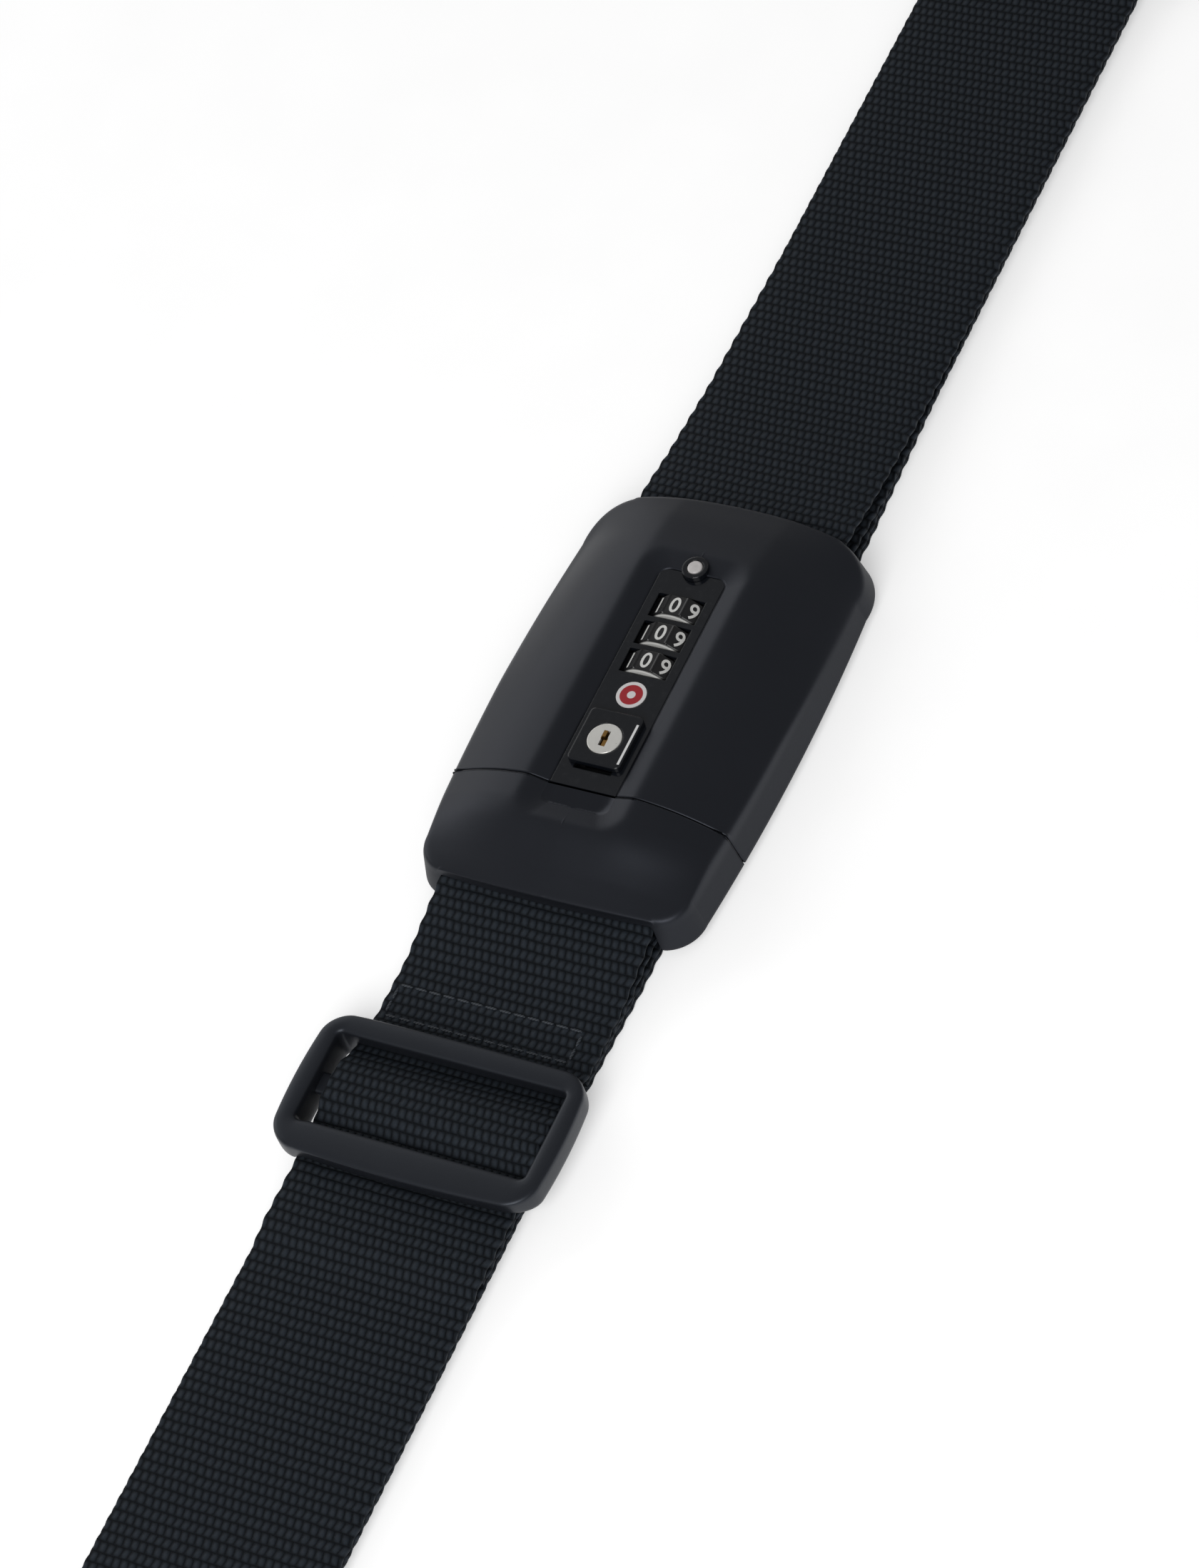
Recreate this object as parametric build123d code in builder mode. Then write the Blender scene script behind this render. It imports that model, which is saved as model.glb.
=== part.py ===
from build123d import *
import os
from math import pi

os.makedirs("parts", exist_ok=True)

# A luggage strap with a three-dial buckle, in millimetres. The strap runs along X, its width is
# along Y, and it lies on Z = 0. The buckle's housing is towards +X and its tongue towards -X.

# ---- Webbing -----------------------------------------------------------------------------------
web = 1.15                 # thickness of one ply
pitch = 1.2                # height from one ply to the next where they lie flat
web_width = 50.0
loop_end = 260.0           # half of the flattened loop's length
bulge_start = 240.0        # where the plies part on their way round the loop's ends
ply_1 = web / 2            # centre heights of the four plies, from the table up
ply_2 = ply_1 + pitch
ply_3 = ply_1 + 2 * pitch
ply_4 = ply_1 + 3 * pitch
split_gap = 0.6            # room between the two halves of the lower plies, under the buckle

# ---- Buckle outline ------------------------------------------------------------------------------
buckle_bottom = 2.5
rim_top = 18.0
part_x = -6.0              # the parting plane between tongue and housing
part_gap = 0.25
wall = 1.8
wall_draft = 13.0          # degrees
ridge_half = 12.6          # half-width of the flat top band
crown_half = 37.0          # the crown's sections are wider than the buckle
base_thickness = 1.2
base_top = buckle_bottom + base_thickness

# ---- Recess and lock plate -----------------------------------------------------------------------
plate_top = 16.7
plate_thickness = 0.55
flange_thickness = 0.6
recess_end = 55.6
recess_front = -15.0
recess_half = 12.2
bevel = 4.4
fit = 0.1

# ---- Lock ----------------------------------------------------------------------------------------
dial_radius = 7.2
dial_width = 5.6
dial_z = 11.2
dial_xs = (41.7, 34.3, 26.9)
dial_bore = 3.1
sleeve_radius = 3.0
sleeve_length = 7.0
spindle_radius = 1.0
window_half = 5.5
reset_x = 51.9
badge_x = 18.6
badge_radius = 3.3
button_x = 6.0            # the key plug's axis when the button stands released
button_block = (-0.5, 13.1, 6.2)   # x, x, half-width
button_slide = 3.0
key_radius = 3.8
plug_radius = 3.0
blade_bottom = 5.6
blade_thickness = 1.5
blade_end = 21.6
bolt_x = 17.0
bolt_lift = 2.4
carriage_bottom = 9.4
carriage_top = 12.2

# ---- Bars and adjuster ---------------------------------------------------------------------------
bar_radius = 1.6
bar_half = 27.6
housing_bar = (64.0, 6.75)     # x, z
tongue_bar = (-24.0, 7.0)
wrap = bar_radius + 0.05 + web / 2
ear_y = 26.5
adjuster_x = -80.95                # the window's centre
adjuster_y = 1.5
adjuster_window = (20.9, 52.8)     # along, across
adjuster_near = 5.0                # the outer bars' widths
adjuster_far = 7.6
adjuster_rail = 4.6
adjuster_bottom = 6.3
rail_bottom = 3.0
adjuster_top = 10.0


def write(piece, name):
    """Label one finished sub-part and write it to its own STEP file."""
    piece.label = name
    export_step(piece, f"parts/{name}.step")


def crown(drop):
    """The solid under the buckle's top: ruled facets through cross-sections along the length."""
    stations = (
        (-34.0, 9.6, 8.8),
        (-27.0, 14.2, 10.8),
        (-16.0, rim_top, 11.2),
        (20.0, rim_top, 11.2),
        (50.0, rim_top, 9.6),
        (64.0, 16.4, 8.6),
        (77.0, 13.4, 8.2),
    )
    with BuildPart() as solid:
        for x, middle, side in stations:
            with BuildSketch(Plane.YZ.offset(x)):
                with BuildLine():
                    Polyline(
                        (-crown_half, 0),
                        (-crown_half, side - drop),
                        (-ridge_half, middle - drop),
                        (ridge_half, middle - drop),
                        (crown_half, side - drop),
                        (crown_half, 0),
                        close=True,
                    )
                make_face()
        loft(ruled=True)
    return solid.part


# the buckle's plan outline as arcs, anticlockwise, each from start through middle to end
outline = (
    ((-30.4, -25.0), (-27.8, -30.4), (-22.0, -32.6)),
    ((-22.0, -32.6), (18.0, -34.8), (58.0, -33.8)),
    ((58.0, -33.8), (68.0, -30.4), (72.0, -21.0)),
    ((72.0, -21.0), (74.6, 0.0), (72.0, 21.0)),
    ((72.0, 21.0), (68.0, 30.4), (58.0, 33.8)),
    ((58.0, 33.8), (18.0, 34.8), (-22.0, 32.6)),
    ((-22.0, 32.6), (-27.8, 30.4), (-30.4, 25.0)),
    ((-30.4, 25.0), (-31.4, 0.0), (-30.4, -25.0)),
)


def buckle_block(inset, bottom):
    """The closed buckle as one barrel-sided block, smaller by inset on every face but the bottom."""
    with BuildPart() as block:
        with BuildSketch(Plane.XY.offset(bottom)):
            with BuildLine():
                for start, middle, end in outline:
                    ThreePointArc(start, middle, end)
            make_face()
            if inset:
                offset(amount=-inset)
        extrude(amount=18.0, taper=wall_draft)
        add(crown(inset), mode=Mode.INTERSECT)
    return block.part


def recess_cutter():
    """The bevelled recess: a rounded rectangle that narrows from the rim down to the lock plate."""
    length = recess_end - recess_front
    centre = (recess_end + recess_front) / 2
    with BuildPart() as cutter:
        with BuildSketch(Plane.XY.offset(plate_top)):
            with Locations((centre, 0)):
                RectangleRounded(length - 2 * bevel, 2 * (recess_half - bevel), 3.0)
        with BuildSketch(Plane.XY.offset(rim_top + 0.5)):
            with Locations((centre, 0)):
                RectangleRounded(length + bevel, 2 * recess_half + bevel, 5.0)
        loft()
    return cutter.part


def slab(x0, x1, z0, z1, half_width):
    """A rectangular block between two x and two z, centred across the strap."""
    with BuildPart() as block:
        with BuildSketch(Plane.XY.offset(z0)):
            with Locations(((x0 + x1) / 2, 0)):
                Rectangle(x1 - x0, 2 * half_width)
        extrude(amount=z1 - z0)
    return block.part


def coil_spring(origin, direction, length, turns, radius, wire):
    """A round-wire compression spring that starts at origin and runs along direction."""
    with BuildPart() as spring:
        with BuildLine():
            turn = Helix(pitch=length / turns, height=length, radius=radius, center=origin, direction=direction)
        with BuildSketch(Plane(turn @ 0, z_dir=turn % 0)):
            Circle(wire)
        sweep(path=turn, is_frenet=True)
    return spring.part


def shifted(route, radii, shift):
    """The same route moved sideways by shift to its left, with each bend's radius changed to suit."""
    points = [Vector(*point) for point in route]
    runs = [(b - a).normalized() for a, b in zip(points, points[1:])]
    lefts = [Vector(-run.Y, run.X) for run in runs]
    moved = [points[0] + lefts[0] * shift]
    bends = []
    for k, radius in enumerate(radii):
        mitre = (lefts[k] + lefts[k + 1]) / (1.0 + lefts[k].dot(lefts[k + 1]))
        moved.append(points[k + 1] + mitre * shift)
        turns_left = runs[k].cross(runs[k + 1]).Z > 0
        bends.append(radius - shift if turns_left else radius + shift)
    moved.append(points[-1] + lefts[-1] * shift)
    return moved, bends


def strap(route, radii):
    """A webbing ply: a centre line in X and Z, given its thickness and spread to the strap's width."""
    with BuildPart() as ply:
        with BuildSketch(Plane.XZ):
            with BuildLine():
                left_points, left_bends = shifted(route, radii, web / 2)
                right_points, right_bends = shifted(route, radii, -web / 2)
                FilletPolyline(*left_points, radius=left_bends)
                FilletPolyline(*right_points, radius=right_bends)
                Line(left_points[0], right_points[0])
                Line(left_points[-1], right_points[-1])
            make_face()
        extrude(amount=web_width / 2, both=True)
    return ply.part


# ---- Webbing plies -------------------------------------------------------------------------------
def outer_turn(side):
    """The outer ply's points and radii from the parting out to the loop's end and back along the top."""
    points = [
        (part_x + side * split_gap / 2, ply_1),
        (side * (loop_end - 2.0), ply_1),
        (side * (loop_end - 0.6), 9.2),
        (side * (loop_end - 8.5), 10.4),
        (side * bulge_start, ply_4),
        (side * 150.0, ply_4),
    ]
    return points, [4.4, 3.4, 3.4, 18.0]


right_turn, right_radii = outer_turn(1)
inner_turn, inner_radii = shifted(right_turn, right_radii, pitch)
bar_x, bar_z = housing_bar
right_route = (
    right_turn
    + [
        (107.0, 5.5),
        (86.0, 7.3),
        (75.0, bar_z + wrap),
        (bar_x - wrap, bar_z + wrap),
        (bar_x - wrap, bar_z - wrap),
        (75.5, bar_z - wrap - 0.1),
        (90.0, ply_3),
    ]
    + inner_turn[-2::-1]
)
turn_radius = 0.98 * wrap
right_bends = right_radii + [120.0, 60.0, 12.0, 4.0, turn_radius, turn_radius, 14.0, 14.0] + inner_radii[::-1]
webbing_right = strap(right_route, right_bends)
write(webbing_right, "webbing_right")

left_turn, left_radii = outer_turn(-1)
inner_left_turn, inner_left_radii = shifted(left_turn, left_radii, -pitch)
bar_x, bar_z = tongue_bar
left_route = (
    left_turn[:-1]
    + [
        (-120.0, ply_4),
        (-113.0, 5.52),
        (-91.6, 5.52),
        (-84.4, 8.8),
        (-77.6, 8.8),
        (-71.2, 5.5),
        (-67.0, 5.5),
        (-62.6, ply_4),
        (-48.0, ply_4),
        (-31.0, bar_z + wrap - 1.7),
        (-25.0, bar_z + wrap),
        (bar_x + wrap, bar_z + wrap),
        (bar_x + wrap, bar_z - wrap),
        (-32.0, bar_z - wrap - 0.3),
        (-44.0, ply_3),
        (-64.5, ply_3),
    ]
)
left_bends = (
    left_radii
    + [14.0, 14.0, 4.5, 3.0, 3.0, 4.5, 3.0, 6.0, 14.0, 6.0, 2.5]
    + [turn_radius, turn_radius, 10.0, 10.0]
)
webbing_left_outer = strap(left_route, left_bends)
write(webbing_left_outer, "webbing_left_outer")

centre_bar_half = 2.5
centre_bar_z = 6.0
centre_wrap = 1.0 + 0.05 + web / 2
fold_x = adjuster_x + centre_bar_half - 1.0 + centre_wrap
tail_route = (
    inner_left_turn[:-1]
    + [
        (-90.5, ply_3),
        (-85.6, centre_bar_z - centre_wrap),
        (fold_x, centre_bar_z - centre_wrap),
        (fold_x, centre_bar_z + centre_wrap),
        (-83.4, centre_bar_z + centre_wrap),
        (-90.0, ply_4 + 0.05),
        (-113.0, ply_4 + 0.02),
    ]
)
fold_radius = 0.98 * centre_wrap
tail_bends = inner_left_radii + [5.0, 5.0, fold_radius, fold_radius, 3.0, 4.0]
webbing_left_inner = strap(tail_route, tail_bends)
write(webbing_left_inner, "webbing_left_inner")


def stitch_rows(rows, top_z, depth):
    """Short thread runs laid across the webbing, one solid for each row, lying on the top ply."""
    with BuildPart() as thread:
        for x0, x1, y0, y1 in rows:
            with BuildSketch(Plane.XY.offset(top_z)):
                with Locations(((x0 + x1) / 2, (y0 + y1) / 2)):
                    Rectangle(x1 - x0, y1 - y0)
            extrude(amount=depth)
    return thread.part


box_rows = (
    (-54.3, -53.7, -19.5, 23.0),
    (-61.7, -61.1, -19.5, 23.0),
    (-60.8, -54.6, 22.9, 23.5),
    (-60.8, -54.6, -20.0, -19.4),
)
write(stitch_rows(box_rows, ply_4 + web / 2, 0.2), "tongue_stitching")
tail_rows = (
    (-104.4, -103.8, -21.0, 21.0),
    (-110.4, -109.8, -21.0, 21.0),
    (-109.4, -104.8, 21.2, 21.8),
    (-109.4, -104.8, -21.8, -21.2),
)
write(stitch_rows(tail_rows, ply_4 + web / 2 + 0.04, 0.1), "adjuster_stitching")

# ---- Adjuster ------------------------------------------------------------------------------------
near_x = adjuster_x + adjuster_window[0] / 2 + adjuster_near
far_x = adjuster_x - adjuster_window[0] / 2 - adjuster_far
half_across = adjuster_window[1] / 2 + adjuster_rail
adjuster_outline = (
    ((far_x + 1.0, -half_across + 5.2), (far_x + 3.2, -half_across + 2.4), (far_x + 6.4, -half_across + 1.4)),
    ((far_x + 6.4, -half_across + 1.4), (adjuster_x, -half_across), (near_x - 5.4, -half_across + 1.0)),
    ((near_x - 5.4, -half_across + 1.0), (near_x - 1.8, -half_across + 2.2), (near_x - 0.4, -half_across + 5.2)),
    ((near_x - 0.4, -half_across + 5.2), (near_x, 0.0), (near_x - 0.4, half_across - 5.2)),
    ((near_x - 0.4, half_across - 5.2), (near_x - 1.8, half_across - 2.2), (near_x - 5.4, half_across - 1.0)),
    ((near_x - 5.4, half_across - 1.0), (adjuster_x, half_across), (far_x + 6.4, half_across - 1.4)),
    ((far_x + 6.4, half_across - 1.4), (far_x + 3.2, half_across - 2.4), (far_x + 1.0, half_across - 5.2)),
    ((far_x + 1.0, half_across - 5.2), (far_x, 0.0), (far_x + 1.0, -half_across + 5.2)),
)
with BuildPart() as adjuster:
    with BuildSketch(Plane.XY.offset(adjuster_bottom)):
        with BuildLine():
            for start, middle, end in adjuster_outline:
                ThreePointArc(*[(x, y + adjuster_y) for x, y in (start, middle, end)])
        make_face()
        with Locations((adjuster_x, adjuster_y)):
            Rectangle(*adjuster_window, mode=Mode.SUBTRACT)
    extrude(amount=adjuster_top - adjuster_bottom)
    with BuildSketch(Plane.XZ.offset(-adjuster_y)):
        with Locations((adjuster_x, centre_bar_z)):
            RectangleRounded(2 * centre_bar_half, 2.0, 0.95)
    extrude(amount=adjuster_window[1] / 2 + 2.0, both=True)
    # the rails reach lower than the outer bars, beside the webbing, and carry the centre bar
    for side in (1, -1):
        with BuildSketch(Plane.XY.offset(rail_bottom)):
            with Locations((adjuster_x, adjuster_y + side * (adjuster_window[1] / 2 + 1.9))):
                Rectangle(adjuster_window[0], 3.8)
        extrude(amount=adjuster_bottom + 0.4 - rail_bottom)
write(adjuster.part, "tri_glide_adjuster")

# ---- Housing -------------------------------------------------------------------------------------
housing_screws_at = ((10.0, 27.0), (10.0, -27.0), (50.0, 26.0), (50.0, -26.0))
screw_radius = 1.1
boss_radius = 2.6
slot_half = web_width / 2 + 0.8
front_wall = 1.6
blade_half = 8.0
prong_y = (17.0, 21.0)
prong_z = (5.0, 10.0)

def bosses(places):
    """Round pillars from just above the base up into the cover's top, one for each screw."""
    with BuildPart() as pillars:
        with BuildSketch(Plane.XY.offset(base_top + 0.05)):
            with Locations(*places):
                Circle(boss_radius)
        extrude(amount=16.0)
    return pillars.part


def screw_holes(places):
    """The blind holes the screws cut their threads in."""
    with BuildPart() as holes:
        with BuildSketch(Plane.XY.offset(base_top)):
            with Locations(*places):
                Circle(screw_radius + 0.05)
        extrude(amount=6.2)
    return holes.part


with BuildPart() as housing_cover:
    add(buckle_block(0, buckle_bottom))
    add(slab(-40.0, part_x + part_gap / 2, 0.0, 30.0, 50.0), mode=Mode.SUBTRACT)
    with BuildPart(mode=Mode.PRIVATE) as cavity:
        add(buckle_block(wall, buckle_bottom - 0.1))
        add(slab(-40.0, part_x + front_wall, 0.0, 30.0, 50.0), mode=Mode.SUBTRACT)
        add(bosses(housing_screws_at), mode=Mode.SUBTRACT)
    add(cavity.part, mode=Mode.SUBTRACT)
    add(recess_cutter(), mode=Mode.SUBTRACT)
    add(slab(-10.0, recess_end - bevel - 0.1, 14.0, 18.0, recess_half - bevel), mode=Mode.SUBTRACT)
    with BuildSketch(Plane.XY.offset(14.0)):
        with Locations((reset_x, 0)):
            Circle(2.95)
    extrude(amount=6.0, mode=Mode.SUBTRACT)
    # the webbing's slot in the end wall, and the blade's and prongs' openings in the front wall
    add(slab(66.0, 80.0, 2.0, 9.9, slot_half), mode=Mode.SUBTRACT)
    add(slab(-10.0, part_x + front_wall + 0.1, blade_bottom - 0.4, 7.5, blade_half + 0.4), mode=Mode.SUBTRACT)
    for side in (1, -1):
        with BuildSketch(Plane.XY.offset(prong_z[0] - 0.4)):
            with Locations((part_x, side * sum(prong_y) / 2)):
                Rectangle(6.0, prong_y[1] - prong_y[0] + 0.8)
        extrude(amount=prong_z[1] - prong_z[0] + 0.8, mode=Mode.SUBTRACT)
    # the base lies inside the walls, so the front wall stops above it
    add(slab(-10.0, 0.0, 2.0, base_top + fit, 32.0), mode=Mode.SUBTRACT)
    add(screw_holes(housing_screws_at), mode=Mode.SUBTRACT)
write(housing_cover.part, "housing_cover")


def screw(x, y, length):
    """A countersunk self-tapping screw, head down, with a cross recess in the head."""
    with BuildPart() as fastener:
        with BuildSketch(Plane.XY.offset(buckle_bottom + 0.1)):
            with Locations((x, y)):
                Circle(2.2)
        extrude(amount=1.0, taper=45.0)
        with BuildSketch(Plane.XY.offset(buckle_bottom + 1.0)):
            with Locations((x, y)):
                Circle(screw_radius)
        extrude(amount=length)
        with BuildSketch(Plane.XY.offset(buckle_bottom + 0.1)):
            with Locations((x, y)):
                Rectangle(2.4, 0.5)
                Rectangle(0.5, 2.4)
        extrude(amount=0.5, mode=Mode.SUBTRACT)
    return fastener.part


with BuildPart() as housing_base:
    with BuildPart(mode=Mode.PRIVATE) as plate_limit:
        add(buckle_block(wall + 0.15, buckle_bottom))
        add(slab(-40.0, part_x + 0.2, 0.0, 30.0, 50.0), mode=Mode.SUBTRACT)
    add(plate_limit.part)
    add(slab(-40.0, 90.0, base_top, 30.0, 50.0), mode=Mode.SUBTRACT)
    # ears that carry the webbing bar
    for side in (1, -1):
        with BuildSketch(Plane.XZ.offset(-side * ear_y)):
            with Locations((housing_bar[0], (base_top + housing_bar[1] + 0.8) / 2)):
                Rectangle(5.6, housing_bar[1] + 0.8 - base_top)
            with Locations(housing_bar):
                Circle(bar_radius + 0.05, mode=Mode.SUBTRACT)
        extrude(amount=0.7, both=True)
    for x, y in housing_screws_at:
        with BuildSketch(Plane.XY.offset(buckle_bottom)):
            with Locations((x, y)):
                Circle(2.4)
        extrude(amount=base_thickness, taper=42.0, mode=Mode.SUBTRACT)
        with BuildSketch(Plane.XY.offset(buckle_bottom)):
            with Locations((x, y)):
                Circle(screw_radius + 0.15)
        extrude(amount=base_thickness, mode=Mode.SUBTRACT)
write(housing_base.part, "housing_base")

with BuildPart() as housing_screws:
    for x, y in housing_screws_at:
        add(screw(x, y, 5.6))
write(housing_screws.part, "housing_screws")

with BuildPart() as housing_webbing_bar:
    with BuildSketch(Plane.XZ):
        with Locations(housing_bar):
            Circle(bar_radius)
    extrude(amount=bar_half, both=True)
    chamfer(housing_webbing_bar.faces().filter_by(Axis.Y).edges(), length=0.3)
write(housing_webbing_bar.part, "housing_webbing_bar")

# ---- Lock plate and what is on it ------------------------------------------------------------------
plate_front = part_x + part_gap / 2
plate_end = recess_end - bevel - 0.2
plate_half = recess_half - bevel - fit
slot_centre = button_x - button_slide / 2
neck = 8.4
with BuildPart() as lock_plate:
    add(slab(plate_front, plate_end, plate_top - plate_thickness, plate_top, plate_half))
    add(slab(plate_front + front_wall + 0.2, 49.5, plate_top - plate_thickness - flange_thickness,
             plate_top - plate_thickness, plate_half + 1.0))
    for x in dial_xs:
        add(slab(x - dial_width / 2 - 0.25, x + dial_width / 2 + 0.25, 10.0, 20.0, window_half), mode=Mode.SUBTRACT)
        add(slab(x - dial_width / 2 - 0.25, x + dial_width / 2 + 0.25, 10.0, plate_top - plate_thickness,
                 window_half + 0.6), mode=Mode.SUBTRACT)
    with BuildSketch(Plane.XY.offset(10.0)):
        with Locations((slot_centre, 0)):
            Rectangle(neck + button_slide + 0.4, neck + 0.4)
        with Locations((reset_x, 0)):
            Circle(2.95)
    extrude(amount=10.0, mode=Mode.SUBTRACT)
    with BuildSketch(Plane.XY.offset(plate_top - 0.4)):
        with Locations((badge_x, 0)):
            Circle(badge_radius + 0.05)
    extrude(amount=1.0, mode=Mode.SUBTRACT)
    # ribs under the plate that guide the latch bolt up and down
    under = plate_top - plate_thickness - flange_thickness
    add(slab(bolt_x + 2.7, bolt_x + 3.5, 8.0, under, 6.3))
    add(slab(bolt_x - 3.5, bolt_x - 2.7, 8.0, under, 3.6))
write(lock_plate.part, "lock_plate")

with BuildPart() as badge:
    with BuildSketch(Plane.XY.offset(plate_top - 0.4)):
        with Locations((badge_x, 0)):
            Circle(badge_radius)
    extrude(amount=0.5)
write(badge.part, "round_badge")

with BuildPart() as reset_collar:
    with BuildSketch(Plane.XY.offset(plate_top - 1.2)):
        with Locations((reset_x, 0)):
            Circle(2.9)
            Circle(1.75, mode=Mode.SUBTRACT)
    extrude(amount=2.6)
    fillet(reset_collar.edges().filter_by(GeomType.CIRCLE).group_by(Axis.Z)[-1], radius=0.25)
write(reset_collar.part, "reset_collar")

with BuildPart() as reset_button:
    with BuildSketch(Plane.XY.offset(9.0)):
        with Locations((reset_x, 0)):
            Circle(1.65)
    extrude(amount=9.3)
    fillet(reset_button.edges().group_by(Axis.Z)[-1], radius=0.4)
    with BuildSketch(Plane.XY.offset(9.0)):
        with Locations((reset_x, 0)):
            Circle(2.5)
    extrude(amount=0.8)
write(reset_button.part, "reset_button")
write(coil_spring((reset_x, 0, base_top + 0.3), (0, 0, 1), 4.6, 5, 1.6, 0.22), "reset_spring")

# ---- Dials ---------------------------------------------------------------------------------------
for number, x in enumerate(dial_xs, start=1):
    with BuildPart() as dial:
        with BuildSketch(Plane.YZ.offset(x - dial_width / 2)):
            with Locations((0, dial_z)):
                Circle(dial_radius)
                Circle(dial_bore, mode=Mode.SUBTRACT)
        extrude(amount=dial_width)
        chamfer(dial.edges().filter_by(GeomType.CIRCLE).sort_by(SortBy.RADIUS)[-2:], length=0.5)
        # ten shallow notches between the digits give the fingertip and the detent their grip
        with BuildSketch(Plane.YZ.offset(x - dial_width / 2)):
            with Locations((0, dial_z)):
                with PolarLocations(dial_radius + 0.15, 10, start_angle=90 + 18):
                    Circle(0.4)
        extrude(amount=dial_width, mode=Mode.SUBTRACT)
    write(dial.part, f"dial_{number}")
    with BuildPart() as sleeve:
        with BuildSketch(Plane.YZ.offset(x - sleeve_length / 2)):
            with Locations((0, dial_z)):
                Circle(sleeve_radius)
                Circle(spindle_radius + 0.1, mode=Mode.SUBTRACT)
        extrude(amount=sleeve_length)
        with BuildSketch(Plane.YZ.offset(x + dial_width / 2 + 0.1)):
            with Locations((0, dial_z)):
                Circle(4.2)
                Circle(sleeve_radius - 0.5, mode=Mode.SUBTRACT)
        extrude(amount=0.5)
    write(sleeve.part, f"clutch_sleeve_{number}")

chassis_x0 = dial_xs[-1] - sleeve_length / 2 - 1.2
chassis_x1 = dial_xs[0] + sleeve_length / 2 + 0.4
chassis_half = 9.0
with BuildPart() as chassis:
    for x in (chassis_x0, chassis_x1):
        with BuildSketch(Plane.YZ.offset(x)):
            with Locations((0, 9.3)):
                Rectangle(2 * chassis_half, 11.0)
            with Locations((0, dial_z)):
                Circle(spindle_radius + 0.05, mode=Mode.SUBTRACT)
        extrude(amount=0.8)
    for side in (1, -1):
        with BuildSketch(Plane.XZ.offset(-side * (chassis_half - 0.4))):
            with Locations(((chassis_x0 + chassis_x1 + 0.8) / 2, 6.6)):
                Rectangle(chassis_x1 - chassis_x0, 5.6)
        extrude(amount=0.4, both=True)
write(chassis.part, "dial_chassis")

with BuildPart() as spindle:
    with BuildSketch(Plane.YZ.offset(chassis_x0 - 0.8)):
        with Locations((0, dial_z)):
            Circle(spindle_radius)
    extrude(amount=chassis_x1 - chassis_x0 + 2.4)
    chamfer(spindle.faces().filter_by(Axis.X).edges(), length=0.2)
write(spindle.part, "dial_spindle")

with BuildPart() as detent_spring:
    for x in dial_xs:
        with BuildSketch(Plane.XY.offset(8.2)):
            with Locations((x, 8.05)):
                Rectangle(dial_width - 1.6, 0.3)
        extrude(amount=5.2)
    with BuildSketch(Plane.XY.offset(8.2)):
        with Locations(((dial_xs[0] + dial_xs[-1]) / 2, 8.05)):
            Rectangle(dial_xs[0] - dial_xs[-1] + dial_width - 1.6, 0.3)
    extrude(amount=1.2)
write(detent_spring.part, "detent_spring")

# ---- Release button, key plug and latch --------------------------------------------------------------
with BuildPart() as release_button:
    with BuildSketch(Plane.XY.offset(plate_top + 0.1)):
        with Locations(((button_block[0] + button_block[1]) / 2, 0)):
            RectangleRounded(button_block[1] - button_block[0], 2 * button_block[2], 1.2)
    extrude(amount=1.45)
    fillet(release_button.faces().sort_by(Axis.Z)[-1].edges(), radius=0.4)
    add(slab(button_x - neck / 2, button_x + neck / 2, carriage_top, plate_top + 0.2, neck / 2))
    with BuildSketch(Plane.XY.offset(carriage_top)):
        with Locations((button_x, 0)):
            Circle(plug_radius + 0.1)
    extrude(amount=8.0, mode=Mode.SUBTRACT)
    with BuildSketch(Plane.XY.offset(plate_top + 0.8)):
        with Locations((button_x, 0)):
            Circle(key_radius + 0.1)
    extrude(amount=2.0, mode=Mode.SUBTRACT)
write(release_button.part, "release_button")

with BuildPart() as key_plug:
    with BuildSketch(Plane.XY.offset(plate_top + 0.85)):
        with Locations((button_x, 0)):
            Circle(key_radius)
    extrude(amount=0.8)
    fillet(key_plug.edges().group_by(Axis.Z)[-1], radius=0.2)
    with BuildSketch(Plane.XY.offset(carriage_bottom - 0.3)):
        with Locations((button_x, 0)):
            Circle(plug_radius)
    extrude(amount=plate_top + 0.85 - carriage_bottom + 0.3)
    # the zig-zag keyway, cut as three short runs
    with BuildSketch(Plane.XY.offset(plate_top - 2.0)):
        for dx, dy, along, across in ((-0.9, 0.35, 2.0, 0.7), (0.0, 0.0, 0.8, 1.4), (0.9, -0.35, 2.0, 0.7)):
            with Locations((button_x + dx, dy)):
                Rectangle(along, across)
    extrude(amount=6.0, mode=Mode.SUBTRACT)
write(key_plug.part, "key_plug")

with BuildPart() as key_cam:
    with BuildSketch(Plane.XY.offset(carriage_bottom - 1.4)):
        with Locations((button_x, 0)):
            Circle(2.4)
        with Locations((button_x, 1.9)):
            Rectangle(2.2, 3.8)
    extrude(amount=1.1)
write(key_cam.part, "key_cam")

with BuildPart() as carriage:
    add(slab(1.0, 12.0, carriage_bottom, carriage_top, 9.4))
    with BuildSketch(Plane.XY.offset(carriage_bottom)):
        with Locations((button_x, 0)):
            Circle(plug_radius + 0.1)
    extrude(amount=5.0, mode=Mode.SUBTRACT)
    # two arms reach past the bolt's ears, and their sloping tips lift the bolt
    for side in (1, -1):
        with BuildSketch(Plane.XZ.offset(-side * 5.4)):
            with BuildLine():
                Polyline((9.0, 7.4), (17.5, 7.4), (17.5, 7.6), (14.5, 10.0), (9.0, 10.0), close=True)
            make_face()
        extrude(amount=0.8, both=True)
write(carriage.part, "slider_carriage")
write(coil_spring((12.3, 8.0, 10.8), (1, 0, 0), 9.6, 8, 1.1, 0.16), "release_spring")

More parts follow.
